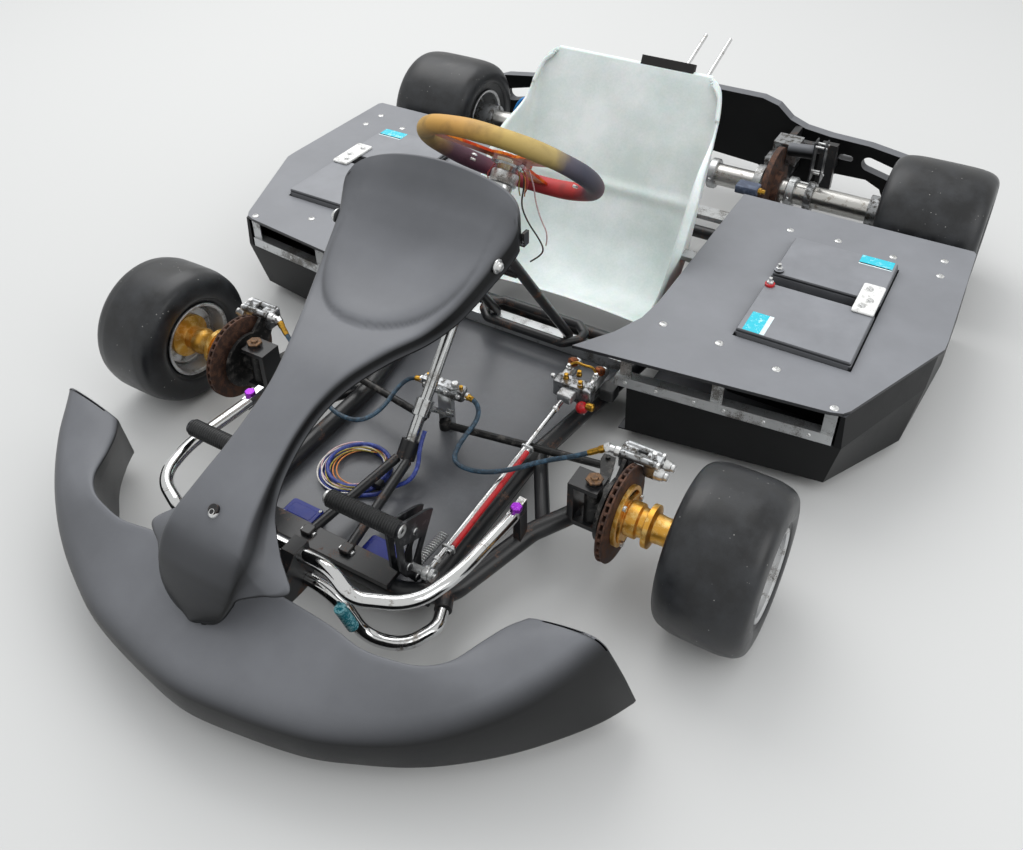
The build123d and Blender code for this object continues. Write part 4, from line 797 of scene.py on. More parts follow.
class KART_OT_tyres(bpy.types.Operator):
    """Four slick tyres, turned from one kind of profile"""

    bl_idname = "kart.tyres"
    bl_label = "Tyres"

    def execute(self, context):
        front, rear = tyre_profile(138.0, 126.9, 26.0), tyre_profile(205.0, 137.9, 32.0)
        for side, hand in HANDS:
            tyre = lathe(front, FRONT_WHEEL * (side, 1, 1), X, 96, loop=True)
            build(f"tyre_front_{hand}", of("slick_rubber", tyre), f"front_wheel_{hand}",
                  (f"front_tyre_{hand}",), crease=60)
        pair = [lathe(rear, REAR_WHEEL * (side, 1, 1), X, 96, loop=True) for side in (1, -1)]
        build("tyres_rear", of("slick_rubber", *pair), "rear_axle_set", ("rear_tyres",),
              crease=60)
        return {"FINISHED"}


# A rim's lip, from its outer edge over the rolled bead flange to the bead seat: (past the seat, radius)
LIP = ((5, 67.0), (4.2, 69.0), (2.6, 69.4), (0.6, 68.6), (0, 66.0), (-2, 64.6))


def rim_shapes(wheel, side, width, disc_x, bore, groove, nuts):
    """A wheel rim: rolled lips, a barrel that steps in to its disc, the disc and its three nuts.

    The profile is a closed loop of (across, radius) from the outer lip over the bead seat to the inner lip
    and back along the inside of the barrel. nuts is their circle's radius, first angle, radius and height.
    """
    centre, disc = wheel * (side, 1, 1), disc_x - wheel[0]
    half = width / 2 - 8.0
    loop = [(half + x, r) for x, r in LIP]
    loop += [(half - 22, 64.4), (half - 30, 58.0), (disc + 14, 56.0), (disc - 4, 56.0), (-half + 26, 60.0),
             (-half + 18, 64.4)]
    loop += [(-half - x, r) for x, r in LIP[::-1]]
    loop += [(-half - 3.8, 64.6), (-half - 2, 62.4), (-half + 16, 61.4), (-half + 28, 57.0),
             (disc - 4, 53.4), (disc, 52.8), (disc + 6, 52.8), (disc + 16, 53.4), (half - 32, 55.4),
             (half - 24, 61.2), (half + 2, 62.4), (half + 3.8, 64.6)]
    face = ((0, bore), (0, 54.0), (6, 54.0), (6, 40.0), (4.6, 38.0), (4.6, groove), (6, bore + 2), (6, bore))
    turned = (lathe(loop, centre, X, 72, loop=True, side=side),
              lathe(face, (side * disc_x, *centre[1:]), X, 72, loop=True, side=side))
    reach, first, radius, height = nuts
    spots = [on_ring(side * (disc_x + 6), wheel, reach, turn) for turn in first + THIRDS]
    return of("wheel_alloy", *turned) + of("bright_zinc", *(
        hexagon_nut(spot, X * side, radius, height) for spot in spots))


class KART_OT_rims(bpy.types.Operator):
    """Rims of the four wheels with their discs, valves and nuts"""

    bl_idname = "kart.rims"
    bl_label = "Rims"

    def execute(self, context):
        for side, hand in HANDS:
            shapes = rim_shapes(FRONT_WHEEL, side, 138.0, 500.0, 14.0, 30.0, (27.0, 0.3, 7.5, 8.0))
            valve = FRONT_WHEEL * (side, 1, 1) + ((side * 40, 30.0, 46.0), (side * 58, 28.5, 44.0))
            shapes += of("soft_rubber", rod(valve, 3.4, 12))
            build(f"rim_front_{hand}", shapes, f"front_wheel_{hand}", (f"front_rim_{hand}",))
        shapes = []
        for side in (1, -1):
            shapes += rim_shapes(REAR_WHEEL, side, 205.0, 549.0, 30.0, 36.0, (43.0, 0.5, 8.0, 9.0))
        build("rims_rear", shapes, "rear_axle_set", ("rear_rims",))
        return {"FINISHED"}


def lobed(count, low, high, power, samples=120):
    """An outline whose radius swings between low and high count times round: a carrier with arms."""
    angle = np.linspace(0, 2 * np.pi, samples, endpoint=False)
    swing = (0.5 + 0.5 * np.cos(count * angle)) ** power
    return circle(samples) * (low + (high - low) * swing)[:, None]


# Front hub from the disc's carrier to the wheel's face, (out from the kart's middle, radius), and its nut
HUB = ((377.8, 9.0), (377.8, 24.0), (385.0, 25.0), (388.0, 27.5), (404.0, 27.5), (407.0, 23.0),
       (415.0, 22.4), (418.0, 33.6), (426.0, 33.6), (429.0, 22.4), (440.0, 21.2), (452.0, 21.2),
       (456.0, 24.0), (470.0, 24.0), (474.0, 21.5), (486.0, 21.5), (491.0, 34.0), (493.0, 39.6),
       (499.7, 39.6), (499.7, 9.0))
HUB_NUT = ((0, 0), (0, 13.6), (11, 13.6), (12.5, 12), (12.5, 0))
CARRIER_RING = ((378.0, 41.5), (378.0, 47.8), (384.4, 47.8), (384.4, 41.5))
# A disc's two plates, their profile, and the vanes that stand between them
PLATES_X = (366.6, 374.4)
PLATE = ((0, 37.0), (0, 75.2), (0.4, 75.9), (2.6, 75.9), (3.0, 75.2), (3.0, 37.0))
VANES, VANE_X = 34, 369.5
VANE = ((50, -2.6), (75.4, -2.6), (75.4, 2.6), (50, 2.6))
# A caliper's blocks, from x to x, its bolts' places, its pistons' caps, its union and the kingpin's washer
BLOCKS_X = ((339.5, 364.6), (379.4, 405.0))
BOLTS_Y = (56.0, 78.0)
CAP_ENDS = (419.0, 421.0)
UNION = ((342, 0), (342, 8.5), (334, 8.5), (332, 6.5), (324, 6.5), (323.4, 5), (323.4, 0))
WASHER = ((0, 0), (0, 13.5), (2.6, 13.5), (2.6, 6.5), (6.0, 6.0), (6.0, 0))


class KART_OT_front_hubs(bpy.types.Operator):
    """Gold hubs, vented brake discs and two-piston calipers of the front wheels"""

    bl_idname = "kart.front_hubs"
    bl_label = "Front hubs and brakes"

    def execute(self, context):
        for side, hand in HANDS:
            middle = FRONT_WHEEL * (0, 1, 1)
            gold = (lathe(HUB, middle, X, 64, loop=True, side=side),
                    slab(lobed(3, 27.0, 48.0, 1.4), middle + X * side * 377.9, Y, Z * side, 6.6, 0.8),
                    lathe(CARRIER_RING, middle, X, 64, loop=True, side=side))
            spots = [on_ring(side * 384.4, FRONT_WHEEL, 43.0, turn) for turn in THIRDS]
            nuts = [hexagon_nut(spot, X * side, 5.0, 5.0) for spot in spots]
            nuts.append(lathe(HUB_NUT, middle + X * side * 500.0, X, 6, side=side))
            build(f"hub_{hand}", of("gold_anodised", *gold) + of("bright_zinc", *nuts),
                  f"front_wheel_{hand}", (f"front_hub_{hand}",))
            self.disc(side, hand, middle)
            self.caliper(side, hand, middle[2])
        return {"FINISHED"}

    def disc(self, side, hand, middle):
        """Two plates with vanes between, and open slots between the vanes."""
        parts = [lathe(np.array(PLATE) + (x, 0), middle, X, 80, loop=True, side=side) for x in PLATES_X]
        vane, foot = rounded(VANE, 1.2, 3), middle + X * side * VANE_X
        for turn in np.arange(VANES) * 2 * np.pi / VANES:
            out = np.array((0, math.cos(turn), math.sin(turn)))
            over = np.array((0, -math.sin(turn), math.cos(turn)))
            parts.append(slab(vane, foot, out, over * side, 5.0, 0.2))
        build(f"disc_{hand}", of("rusty_iron", *parts), f"front_wheel_{hand}",
              (f"front_brake_disc_{hand}",), crease=30)

    def caliper(self, side, hand, z):
        """Two cylinder blocks astride the disc, a bridge with two bolts, a bleed nipple and a union."""
        parts = of("caliper_alloy", *(
            box((side * x0, 52, z + 34.5), (side * x1, 84, z + 66), 6, 2.0) for x0, x1 in BLOCKS_X))
        low, high = sorted((side * 345, side * 400))
        for y in BOLTS_Y:
            parts += of("caliper_alloy", rod([(low, y, z + 62), (high, y, z + 62)], 6.4, 18))
            parts += of("bright_zinc", hexagon_nut((side * 400, y, z + 62), X * side, 6.5, 5.0))
        for y, end in zip(BOLTS_Y, CAP_ENDS):
            cap = ((399, 0), (399, 9.5), (409, 9.5), (411, 8), (end - 6, 8), (end - 5, 6.5), (end, 6.2),
                   (end, 0))
            parts += of("bright_zinc", lathe(cap, (0, y, z + 47), X, 28, side=side))
        parts += of("bright_zinc", lathe(UNION, (0, 58, z + 60), X, 24, side=side),
                    rod([(side * 392, 66, z + 64), (side * 392, 66, z + 76)], 3.6, 12))
        build(f"caliper_{hand}", parts, f"knuckle_{hand}_set", (f"front_caliper_{hand}",))
        washer = lathe(WASHER, (side * 328, 0, z + 47.0), Z, 6)
        build(f"kingpin_cap_{hand}", of("brown_steel", washer), "chassis")


def shell(grid, wall):
    """A sheet of even thickness: a grid, the same grid moved back along its normals, and half-round edges.

    An edge's middle lies between both sheets, half a wall further out. A negative wall goes the other way.
    """
    under = grid - unit(np.cross(np.gradient(grid, axis=0), np.gradient(grid, axis=1))) * wall

    def edge(last, before, far):
        return (last + far) / 2 + unit(last - before) * abs(wall) / 2

    def ring(middle, left, right, far):
        return np.concatenate((middle, right, far[:, ::-1], left), 1)

    left = edge(grid[:, 0], grid[:, 1], under[:, 0])[:, None]
    right = edge(grid[:, -1], grid[:, -2], under[:, -1])[:, None]
    start = edge(grid[0], grid[1], under[0])[None]
    end = edge(grid[-1], grid[-2], under[-1])[None]
    rows = (ring(start, start[:, :1], start[:, -1:], start), ring(grid, left, right, under),
            ring(end, end[:, :1], end[:, -1:], end))
    return skin(np.concatenate(rows), wrap_columns=True)


# How a closed end draws in: the share of its reach inwards, and outwards
BLUNT = ((0.0, 1.0), (0.12, 0.45), (0.4, 0.12), (1.0, 0.0))


def blunt_ends(rings, reach):
    """Rows of rings whose last ones draw in over a short reach, so that both ends close with a soft edge."""

    def closed(last, before):
        middle = last.mean(0)
        way = unit(middle - before.mean(0))
        spread = np.linalg.norm(last - middle, axis=1, keepdims=True)
        drawn = [middle + (last - middle) * (1 - reach * k / spread) - way * reach * d for k, d in BLUNT]
        return np.stack(drawn + [np.broadcast_to(middle, last.shape)])

    return np.concatenate((closed(rings[0], rings[1])[::-1], rings[1:-1], closed(rings[-1], rings[-2])))


# Nose: crest, inner top edge, outer bottom and inner bottom of each section, from the middle to one end
NOSE = np.array([
    ((0, -528, 125), (0, -385, 180), (0, -519, 40), (0, -420, 40)),
    ((90, -517, 121), (80, -384, 180), (90, -508, 40), (84, -418, 40)),
    ((180, -497, 119), (154, -388, 180), (177, -490, 40), (163, -412, 40)),
    ((240, -474, 118), (206, -396, 180), (237, -466, 40), (216, -398, 40)),
    ((300, -444, 126), (248, -391, 180), (296, -437, 40), (262, -380, 40)),
    ((350, -411, 141), (284, -380, 180), (345, -404, 40), (305, -355, 40)),
    ((395, -371, 162), (311, -357, 180), (396, -360, 40), (345, -322, 40)),
    ((430, -328, 187), (329, -317, 181), (440, -312, 40), (384, -287, 40)),
    ((455, -285, 209), (345, -286, 184), (478, -262, 40), (414, -246, 40)),
    ((468, -265, 219), (365, -262, 187), (504, -213, 40), (433, -212, 40)),
], float)
# How far from each corner its rounding starts: crest, top, inner edge, inside, two low ones and belly
NOSE_CUTS = (30, 60, 15, 20, 8, 10, 40)


class KART_OT_nose(bpy.types.Operator):
    """The moulded nose: one section carried round a crescent, its corners rounded and its ends closed"""

    bl_idname = "kart.nose"
    bl_label = "Nose"

    def execute(self, context):
        whole = np.concatenate((NOSE[:0:-1] * (-1, 1, 1), NOSE))
        crest, top, low_out, low_in = (smooth_rows(whole, 190)[:, k] for k in range(4))
        over = (crest + top) / 2 + Z * 5.0
        inner = low_in + (top - low_in) * 0.9
        belly = low_out * 0.45 + crest * 0.55 + unit((low_out - low_in) * (1, 1, 0)) * 5
        rings = rounded(np.stack((crest, over, top, inner, low_in, low_out, belly), 1), NOSE_CUTS, 8)
        nose = skin(blunt_ends(rings, 5.0), wrap_columns=True)
        build("nose", of("moulded_plastic", nose), "chassis", ("nose_fairing",), crease=70)
        return {"FINISHED"}


# Front panel, from the tongue's tip to the rear rim: y, crease z, half width, crown, side depth, bottom half
PANEL = np.array([
    (-468, 167, 13, 0, 3, 14), (-466, 176, 32, 0, 4, 33), (-463, 190, 45, 1, 6, 46),
    (-459, 206, 53, 1, 9, 55), (-453, 226, 59, 2, 14, 62), (-446, 246, 62, 2, 22, 67),
    (-430, 277, 63, 1, 46, 86), (-410, 297, 60, 1, 58, 115), (-384, 313, 54, 1, 52, 84),
    (-357, 327, 49, 1, 40, 58), (-329, 340, 44, 1, 26, 49), (-284, 361, 40, 2, 22, 44),
    (-236, 380, 42, 2, 21, 45), (-188, 396, 54, 2, 21, 57), (-133, 406, 76, 1, 21, 79),
    (-81, 412, 100, -3, 23, 103), (-38, 427, 116, -7, 30, 119), (0, 446, 127, -9, 34, 130),
    (35, 466, 136, -6, 36, 139), (77, 492, 148, 8, 40, 151), (106, 513, 152, 22, 48, 155),
    (121, 521, 149, 33, 50, 152),
], float)
PAD_MIDDLE_Y, PAD_HALF, PAD_REACH, PAD_ROUND = 40.0, 120.0, 150.0, 30.0
# The places across the panel's top, as shares of its half width, and down its side, as shares of the
# flare and of the depth; and how the rear edge rolls: radius in mm
TOP_SHARES = np.array((0, 0.25, 0.5, 0.74, 0.94))
SIDE_SHARES = ((0.04, 0.22), (0.14, 0.55), (0.45, 0.84), (1.0, 1.0))
ROLL_RADIUS, ROLL_DROP = 9.0, 17.0
PANEL_BOLT = (140.5, 46, 458)


def pad_lift(x, y):
    """How far the head pad stands out: a quarter ellipse inwards from an oval's edge, highest in front."""
    oval = np.sqrt((x / PAD_HALF) ** 2 + ((np.minimum(y, PAD_MIDDLE_Y) - PAD_MIDDLE_Y) / PAD_REACH) ** 2)
    inside = np.clip((1 - oval) * PAD_REACH / PAD_ROUND, 0, 1)
    high = 4.0 + 9.0 * np.clip((PAD_MIDDLE_Y - y) / PAD_REACH, 0, 1)
    return high * np.sqrt(1 - (1 - inside) ** 2) * np.clip((121 - y) / 50, 0, 1)


def rolled(row):
    """Rows that carry an edge over a quarter round and then straight down, never past its lowest point."""
    angle = np.radians(np.array((18, 36, 54, 72, 90)))[:, None]
    out = np.concatenate((ROLL_RADIUS * np.sin(angle), [[ROLL_RADIUS - 0.4], [ROLL_RADIUS - 0.8]]))
    down = np.concatenate((ROLL_RADIUS * (1 - np.cos(angle)),
                           [[ROLL_RADIUS + ROLL_DROP * 0.5], [ROLL_RADIUS + ROLL_DROP]]))
    rows = np.repeat(row[None], len(out), 0)
    floor = row[:, 2].min()
    rows[..., 1] += out
    rows[..., 2] = np.maximum(rows[..., 2] - down, floor + (rows[..., 2] - floor) * 0.02)
    return rows


class KART_OT_front_panel(bpy.types.Operator):
    """The upright front panel: tongue with two ears, neck, and a wide head with a raised oval pad"""

    bl_idname = "kart.front_panel"
    bl_label = "Front panel"

    def execute(self, context):
        wall = context.scene.kart_sizes.panel_wall * 1000
        y, z, half, crown, depth, bottom = (column[:, None] for column in smooth_rows(PANEL, 230).T)
        top_x = half * TOP_SHARES
        side_x = np.concatenate([half + share * (bottom - half) for share, _ in SIDE_SHARES], 1)
        side_z = np.concatenate([z - share * depth for _, share in SIDE_SHARES], 1)
        right = np.stack((np.concatenate((top_x, side_x), 1),
                          np.concatenate((z + crown * (1 - (top_x / half) ** 2), side_z), 1)), -1)
        line = flowing(np.concatenate((right[:, :0:-1] * (-1, 1), right), 1), 8)
        x, high = line[..., 0], line[..., 1]
        near = np.clip(np.abs(x) / half, 0, 1)
        high = high + pad_lift(x, y) * np.clip((half * 0.97 - np.abs(x)) / 8, 0, 1)
        rear, front = np.clip((y - 45) / 76, 0, 1), np.clip((-424 - y) / 33, 0, 1)
        deep = y - 32 * rear**1.5 * near**8 + 5 * front * near**2
        grid = np.stack((x - 10 * front, deep, high), -1)
        angle = np.radians((100, 70, 40, 15))[:, None, None]
        under = grid[0] + 7 * np.concatenate((0 * angle, 1 - np.cos(angle), -np.sin(angle)), 2)
        grid = np.concatenate((under, grid, rolled(grid[-1])))
        build("front_panel_skin", of("moulded_plastic", shell(grid, -wall)), "chassis",
              ("front_panel",), crease=60)
        screws = [button_screw((0, -398, 303), (0, -0.5, 0.87), 7.6, 8.0)]
        for side in (1, -1):
            spot = np.array(PANEL_BOLT) * (side, 1, 1)
            screws += [lathe(((0, 0), (0, 11), (2, 11), (2.6, 10), (2.6, 0)), spot, X * side, 24),
                       button_screw(spot + X * side * 2.5, X * side, 8.0, 6.0)]
        build("panel_screws", of("bright_zinc", *screws), "chassis")
        return {"FINISHED"}


# Seat, from the top of the back to the front lip: centre y and z, rim y and z, half width, corner radius
SEAT_X, SEAT_HALF, SEAT_WALL = 6.0, 205, 4.0
SEAT = np.array([
    (788, 472, 780, 463, 166, 7), (780, 455, 767, 443, 186, 18), (766, 420, 742, 408, 195, 28),
    (750, 380, 708, 376, 198, 36), (720, 300, 636, 345, 202, 44), (688, 215, 584, 288, 203, 50),
    (655, 135, 540, 228, 203, 54), (602, 80, 514, 165, 198, 54), (552, 62, 484, 118, 188, 50),
    (508, 70, 452, 92, 172, 44),
], float)


class KART_OT_seat(bpy.types.Operator):
    """The glass fibre seat: a U section swept from the top of the back to the lip, with a flanged edge"""

    bl_idname = "kart.seat"
    bl_label = "Seat"

    def execute(self, context):
        y, z, rim_y, rim_z, half, corner = (column[:, None] for column in smooth_rows(SEAT, 170).T)
        reach = np.stack((rim_y - y, rim_z - z), -1)
        depth = np.linalg.norm(reach, axis=-1)
        corner = np.minimum(corner * 1.8, depth * 0.55)
        flange = 4 + 20 * np.clip((770 - y) / 70, 0, 1) * np.clip((rim_z - 150) / 80, 0.5, 1)
        curl, flat = np.clip(depth / 60, 0, 1), 0 * half
        up = np.concatenate((depth - 7 * curl, depth - 1.5 * curl, depth + 1.5 * curl, depth * 0.72, corner,
                             corner * 0.25, flat, flat, flat), 1)
        wide = np.concatenate((half + flange, half + flange - 1, half + 4.5, half + 2.5, half + 0.8, half,
                               half - corner * 0.3, half - corner, half * 0.3), 1)
        left = np.stack((-wide, up), -1)
        line = flowing(np.concatenate((left, left[:, ::-1] * (-1, 1)), 1), 7)
        across, out = line[..., 0], line[..., 1]
        forward = reach / depth[..., None]
        share = np.abs(across / SEAT_HALF)
        out = out + 6.0 * np.exp(-(((z - 240) / 11) ** 2)) * np.clip(1.15 - share**6, 0, 1)
        lip = np.clip((96 - z) / 40, 0, 1) * np.clip((565 - y) / 60, 0, 1)
        deep = y + forward[..., 0] * out + 26 * lip * (1 - np.clip(share, 0, 1) ** 2)
        points = np.stack((SEAT_X + across, deep, z + forward[..., 1] * out), -1)
        roll = [points[0] + (0, 9 * math.sin(a), 7 * math.sin(a) - 9 * (1 - math.cos(a)))
                for a in (2.4, 1.6, 0.8)]
        seat = shell(np.concatenate((np.stack(roll), points)), SEAT_WALL)
        build("seat_shell", of("seat_fibreglass", seat), "chassis", ("seat",), crease=60)
        return {"FINISHED"}


# The grip: radius of its ring and of its section, which swells nine times round, and rows of points
RING, SECTION, SWELL = 147, 15.8, 0.35
GRIP_TURNS, GRIP_SIDES = 129, 25
COLLAR = ((0, 0), (0, 22), (1.5, 23.5), (20, 23.5), (22, 22), (22, 0))
# Short wires behind the plate: where each starts, across and down the wheel, and its finish
TIES = ((-26, 6, "red_wire"), (-18, 16, "white_wire"), (-8, -20, "pale_wire"), (12, 22, "orange_wire"),
        (22, -8, "red_wire"), (4, 26, "yellow_wire"))


class KART_OT_steering(bpy.types.Operator):
    """The grip of the steering wheel, a closed ring with its turn kept as a UV map, and the plate's bolts"""

    bl_idname = "kart.steering"
    bl_label = "Steering wheel"

    def execute(self, context):
        middle = COLUMN_FOOT + COLUMN_WAY * WHEEL_ALONG
        turn = np.linspace(0, 2 * np.pi, GRIP_TURNS)[:, None, None]
        over = np.linspace(0, 2 * np.pi, GRIP_SIDES)[None, :, None]
        radius = SECTION + SWELL * np.sin(turn * 9)
        points = middle + (np.cos(turn) * X - np.sin(turn) * COLUMN_DOWN) * (RING + radius * np.cos(over))
        points = points + COLUMN_WAY * radius * np.sin(over)
        uv = np.stack(np.broadcast_arrays(turn[..., 0] / (2 * np.pi), over[..., 0] / (2 * np.pi)), -1)
        build("wheel_grip_ring", of("grip_sleeve", skin(points)), "steering",
              ("steering_wheel_rim",), crease=80, uv=uv.reshape(-1, 2))
        bolts = []
        for angle in np.radians((90, 210, 330)):
            way = math.cos(angle) * X - math.sin(angle) * COLUMN_DOWN
            for spot in (middle + way * 25.0, middle + way * 116.0):
                bolts += of("bright_zinc", button_screw(spot + COLUMN_WAY * 2.4, COLUMN_WAY, 5.5, 4.0),
                            hexagon_nut(spot - COLUMN_WAY * 2.4, -COLUMN_WAY, 5.5, 4.0))
        bolts += of("mill_aluminium", lathe(COLLAR, COLUMN_FOOT + COLUMN_WAY * 470.0, COLUMN_WAY, 40))
        for a, b, finish in TIES:
            start = middle + X * a + COLUMN_DOWN * b - COLUMN_WAY * 6
            ways = ((0, 0, 0), (a * 0.5, 6, -16), (a * 0.9, -4, -36), (a * 0.3, 6, -54))
            bolts += of(finish, rod(flowing([start + way for way in ways]), 1.1, 6))
        build("wheel_fastenings", bolts, "steering")
        return {"FINISHED"}


# Decks and batteries: screws, each battery from y to y, labels (x, y, width, length, finish), where each
# nut of the bus bar and each post stands, and the heights of the deck, the cases, their lids and the bar
DECK_TOP, CASE_Z, LID_Z, BAR_Z = 199.6, (74.4, 208.6), (205, 214.6), (214.8, 219.6)
DECK_SCREWS = ((276, 366), (379, 363), (484, 344), (591, 296), (371, 778), (464, 784), (570, 778),
               (657, 811), (660, 755))
BATTERIES_Y = ((398.0, 559.0), (592.0, 736.0))
LABELS = ((551, 719, 60, 30, "cyan_label"), (551, 704.5, 60, 6, "pale_label"),
          (418, 430, 30, 58, "cyan_label"), (437, 430, 8, 58, "pale_label"))
BAR_NUTS = ((562, 560), (571, 582), (562, 618))
POSTS = ((402, 550, "red_plastic"), (402, 602, "battery_shell"))
POST_FOOT = ((0, 0), (0, 9), (4, 9), (4.6, 8), (4.6, 0))


class KART_OT_decks(bpy.types.Operator):
    """Screws of the decks, and the batteries in their windows with labels, terminals and bus bars"""

    bl_idname = "kart.decks"
    bl_label = "Decks and batteries"

    def execute(self, context):
        head = context.scene.kart_sizes.screw_head * 1000
        screws = [button_screw((side * x, y, DECK_TOP), Z, head, 2.6)
                  for side in (1, -1) for x, y in DECK_SCREWS]
        build("deck_screws", of("bright_zinc", *screws), "chassis")
        for side, hand in HANDS:
            parts = []
            for low, high in BATTERIES_Y:
                parts += of("battery_shell",
                            box((side * 392, low, CASE_Z[0]), (side * 588, high, CASE_Z[1]), 5, 2.0),
                            box((side * 393, low + 1, LID_Z[0]), (side * 587, high - 1, LID_Z[1]), 4, 2.4))
            for x, y, wide, long, finish in LABELS:
                parts += of(finish, box((side * (x - wide / 2), y - long / 2, 214.2),
                                        (side * (x + wide / 2), y + long / 2, 214.95), 1.5, 0.2))
            bar = box((side * 548, 541, BAR_Z[0]), (side * 587, 637, BAR_Z[1]), 5, 1.6)
            links = of("white_cover", bar)
            for x, y in BAR_NUTS:
                links += of("bright_zinc",
                            lathe(((0, 0), (0, 6), (1, 6.4), (1, 0)), (side * x, y, 219.5), Z, 20),
                            hexagon_nut((side * x, y, 220.4), Z, 4.4, 3.0))
            for x, y, cap in POSTS:
                links += of(cap, lathe(POST_FOOT, (side * x, y, BAR_Z[0]), Z, 28))
                links += of("bright_zinc", hexagon_nut((side * x, y, 219.2), Z, 6.6, 4.5),
                            rod([(side * x, y, 223), (side * x, y, 230.8)], 3.4, 14))
            cases = build(f"batteries_{hand}", parts, "chassis")
            tops = build(f"battery_tops_{hand}", links, "chassis")
            if hand == "left":
                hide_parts("batteries")
                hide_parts("battery_links")
        return {"FINISHED"}


def ribbed(start, end, radius, pitch, depth=0.9):
    """A sleeve with rings round it: a lathe whose radius rises and falls with the pitch."""
    start, end = np.asarray(start, float), np.asarray(end, float)
    reach = np.linalg.norm(end - start)
    along = np.linspace(0, reach, int(reach / pitch * 8) + 1)
    swell = radius + depth * np.clip(np.sin(along / pitch * 2 * np.pi) * 1.6, -1, 1) / 2
    ends = ((0, 0), (0, radius - 1)), ((reach, radius - 1), (reach, 0))
    return lathe(np.concatenate((ends[0], np.stack((along, swell), -1), ends[1])), start, end - start, 28)


def spring(start, end, radius, wire, turns):
    """A helical spring: the path goes round its axis while it moves along it."""
    start, end = np.asarray(start, float), np.asarray(end, float)
    t = np.linspace(0, 1, int(turns * 16) + 1)[:, None]
    first, second = square_to(end - start)
    angle = 2 * np.pi * turns * t
    ring = np.cos(angle) * first + np.sin(angle) * second
    return rod(start + (end - start) * t + radius * ring, wire, 7)


# Pedals: each sleeve from end to end, its caps and which way they look, and the bolts of the plates
SLEEVES = (((26, -229, 188), (146, -229, 188)), ((-240, -224, 196), (-140, -224, 196)))
CAP = ((0, 0), (0, 10), (4, 10), (5.2, 8.6), (5.2, 4), (3, 4), (3, 0))
CAPS = ((146, -229, 188, 1), (24, -229, 188, -1), (-242, -224, 196, -1), (-138, -224, 196, 1))
PLATE_BOLTS = ((-201, 161), (-223, 109), (-206, 70))
PLATE_IN, PLATE_OUT = 128.0, 150.2


class KART_OT_pedals(bpy.types.Operator):
    """Ribbed sleeves on the pedals' bars with their end caps, the bolts of the plates, and two springs"""

    bl_idname = "kart.pedals"
    bl_label = "Pedals"

    def execute(self, context):
        parts = of("soft_rubber", *(ribbed(*ends, 13.0, 4.2) for ends in SLEEVES))
        parts += of("bright_zinc", *(lathe(CAP, spot, X * way, 26) for *spot, way in CAPS))
        for side in (1, -1):
            for y, z in PLATE_BOLTS:
                parts += of("gun_metal", rod([(side * PLATE_IN, y, z), (side * PLATE_OUT, y, z)], 4.2, 14))
                parts += of("bright_zinc", button_screw((side * PLATE_OUT, y, z), X * side, 5.6, 3.4))
        parts += of("bright_zinc", *(
            spring((x, -206, 74), (x, -120, 66), 5.0, 0.9, 18) for x in (136.0, 140.0)))
        build("pedal_sleeves", parts, "chassis")
        return {"FINISHED"}


# Brake hose of the left side, from the splitter to the caliper; the right one is its mirror image
HOSE = np.array([(42.3, 96, 140), (64, 96, 140), (82, 76, 124), (78, 20, 113), (92, -24, 114),
                 (139, -30, 120), (182, -7, 124), (226, 28, 138), (288, 40, 170), (322.4, 58, 188)])
HOSE_HELD, HOSE_MOVED = (139, -30, 120), (306, 46, 178)
PUSHROD = np.array(((174.0, -214.0, 100.0), (174.0, 192.0, 114.0)))
# Master cylinders: blocks (low, high, cut, chamfer, finish), then profiles, each along its own axis
CYLINDER_BLOCKS = (((141, 217, 96), (213, 243, 127.5), 5, 2, "caliper_alloy"),
                   ((160, 195, 106), (188, 217, 122), 4, 1.5, "mill_aluminium"),
                   ((186.5, 218.5, 46.9), (203.5, 241.5, 97), 3, 1, "mill_aluminium"),
                   ((212, 252.5, 88), (239.5, 281.5, 111.5), 4, 2, "soft_rubber"),
                   ((204, 236, 97), (213.5, 262, 107), 2, 1, "soft_rubber"))
BARREL = ((0, 0), (0, 8), (3, 10), (36, 10), (38, 8.2), (44, 8.2), (44, 9), (58, 9), (59, 0))
KNOB = ((0, 0), (0, 7), (3, 9.6), (5, 7.6), (7, 9.6), (9, 7.6), (11, 9.4), (13, 7), (14.5, 0))
PLUG = ((0, 0), (0, 5), (5, 5), (6, 4), (11, 4), (12, 0))
PLUGS = ((160, 232, 127), (190, 226, 127), (176, 250, 127))
ELBOW = ((0, 0), (0, 6), (4, 7), (12, 7), (14, 5), (14, 0))
BRIDGE = [(150, 262, 131), (158, 272, 137), (176, 266, 138), (194, 272, 137), (202, 262, 131)]
# Pushrod: bars by their shares of its length and how far beside it, with radius and finish; its ends
RODS = ((0.02, 0.99, 0.0, 4.4, "plated_bar"), (0.14, 0.67, 7.4, 4.6, "red_plastic"),
        (0.11, 0.14, 7.4, 3.6, "plated_bar"), (0.67, 0.70, 7.4, 3.6, "plated_bar"))
PIN = ((-26, 0), (-26, 6), (6, 6), (6, 9.5), (12, 9.5), (12, 4), (15, 4), (15, 0))
EYE = ((-4, 5.5), (-5, 9), (-3.5, 10.5), (3.5, 10.5), (5, 9), (4, 5.5))
HOSE_NUT = ((-3, 0), (-3, 7.4), (6, 7.4), (7, 6), (7, 0))


def ferrule(start, end, radius):
    """A crimped collar: a lathe that is wide in front, narrower behind and drawn in at its end."""
    start, end = np.asarray(start, float), np.asarray(end, float)
    reach = np.linalg.norm(end - start)
    shares = ((0, 0), (0, 0.8), (0.12, 1), (0.42, 1), (0.5, 0.82), (0.88, 0.82), (1, 0.7), (1, 0))
    return lathe(np.array(shares) * (reach, radius), start, end - start, 20)


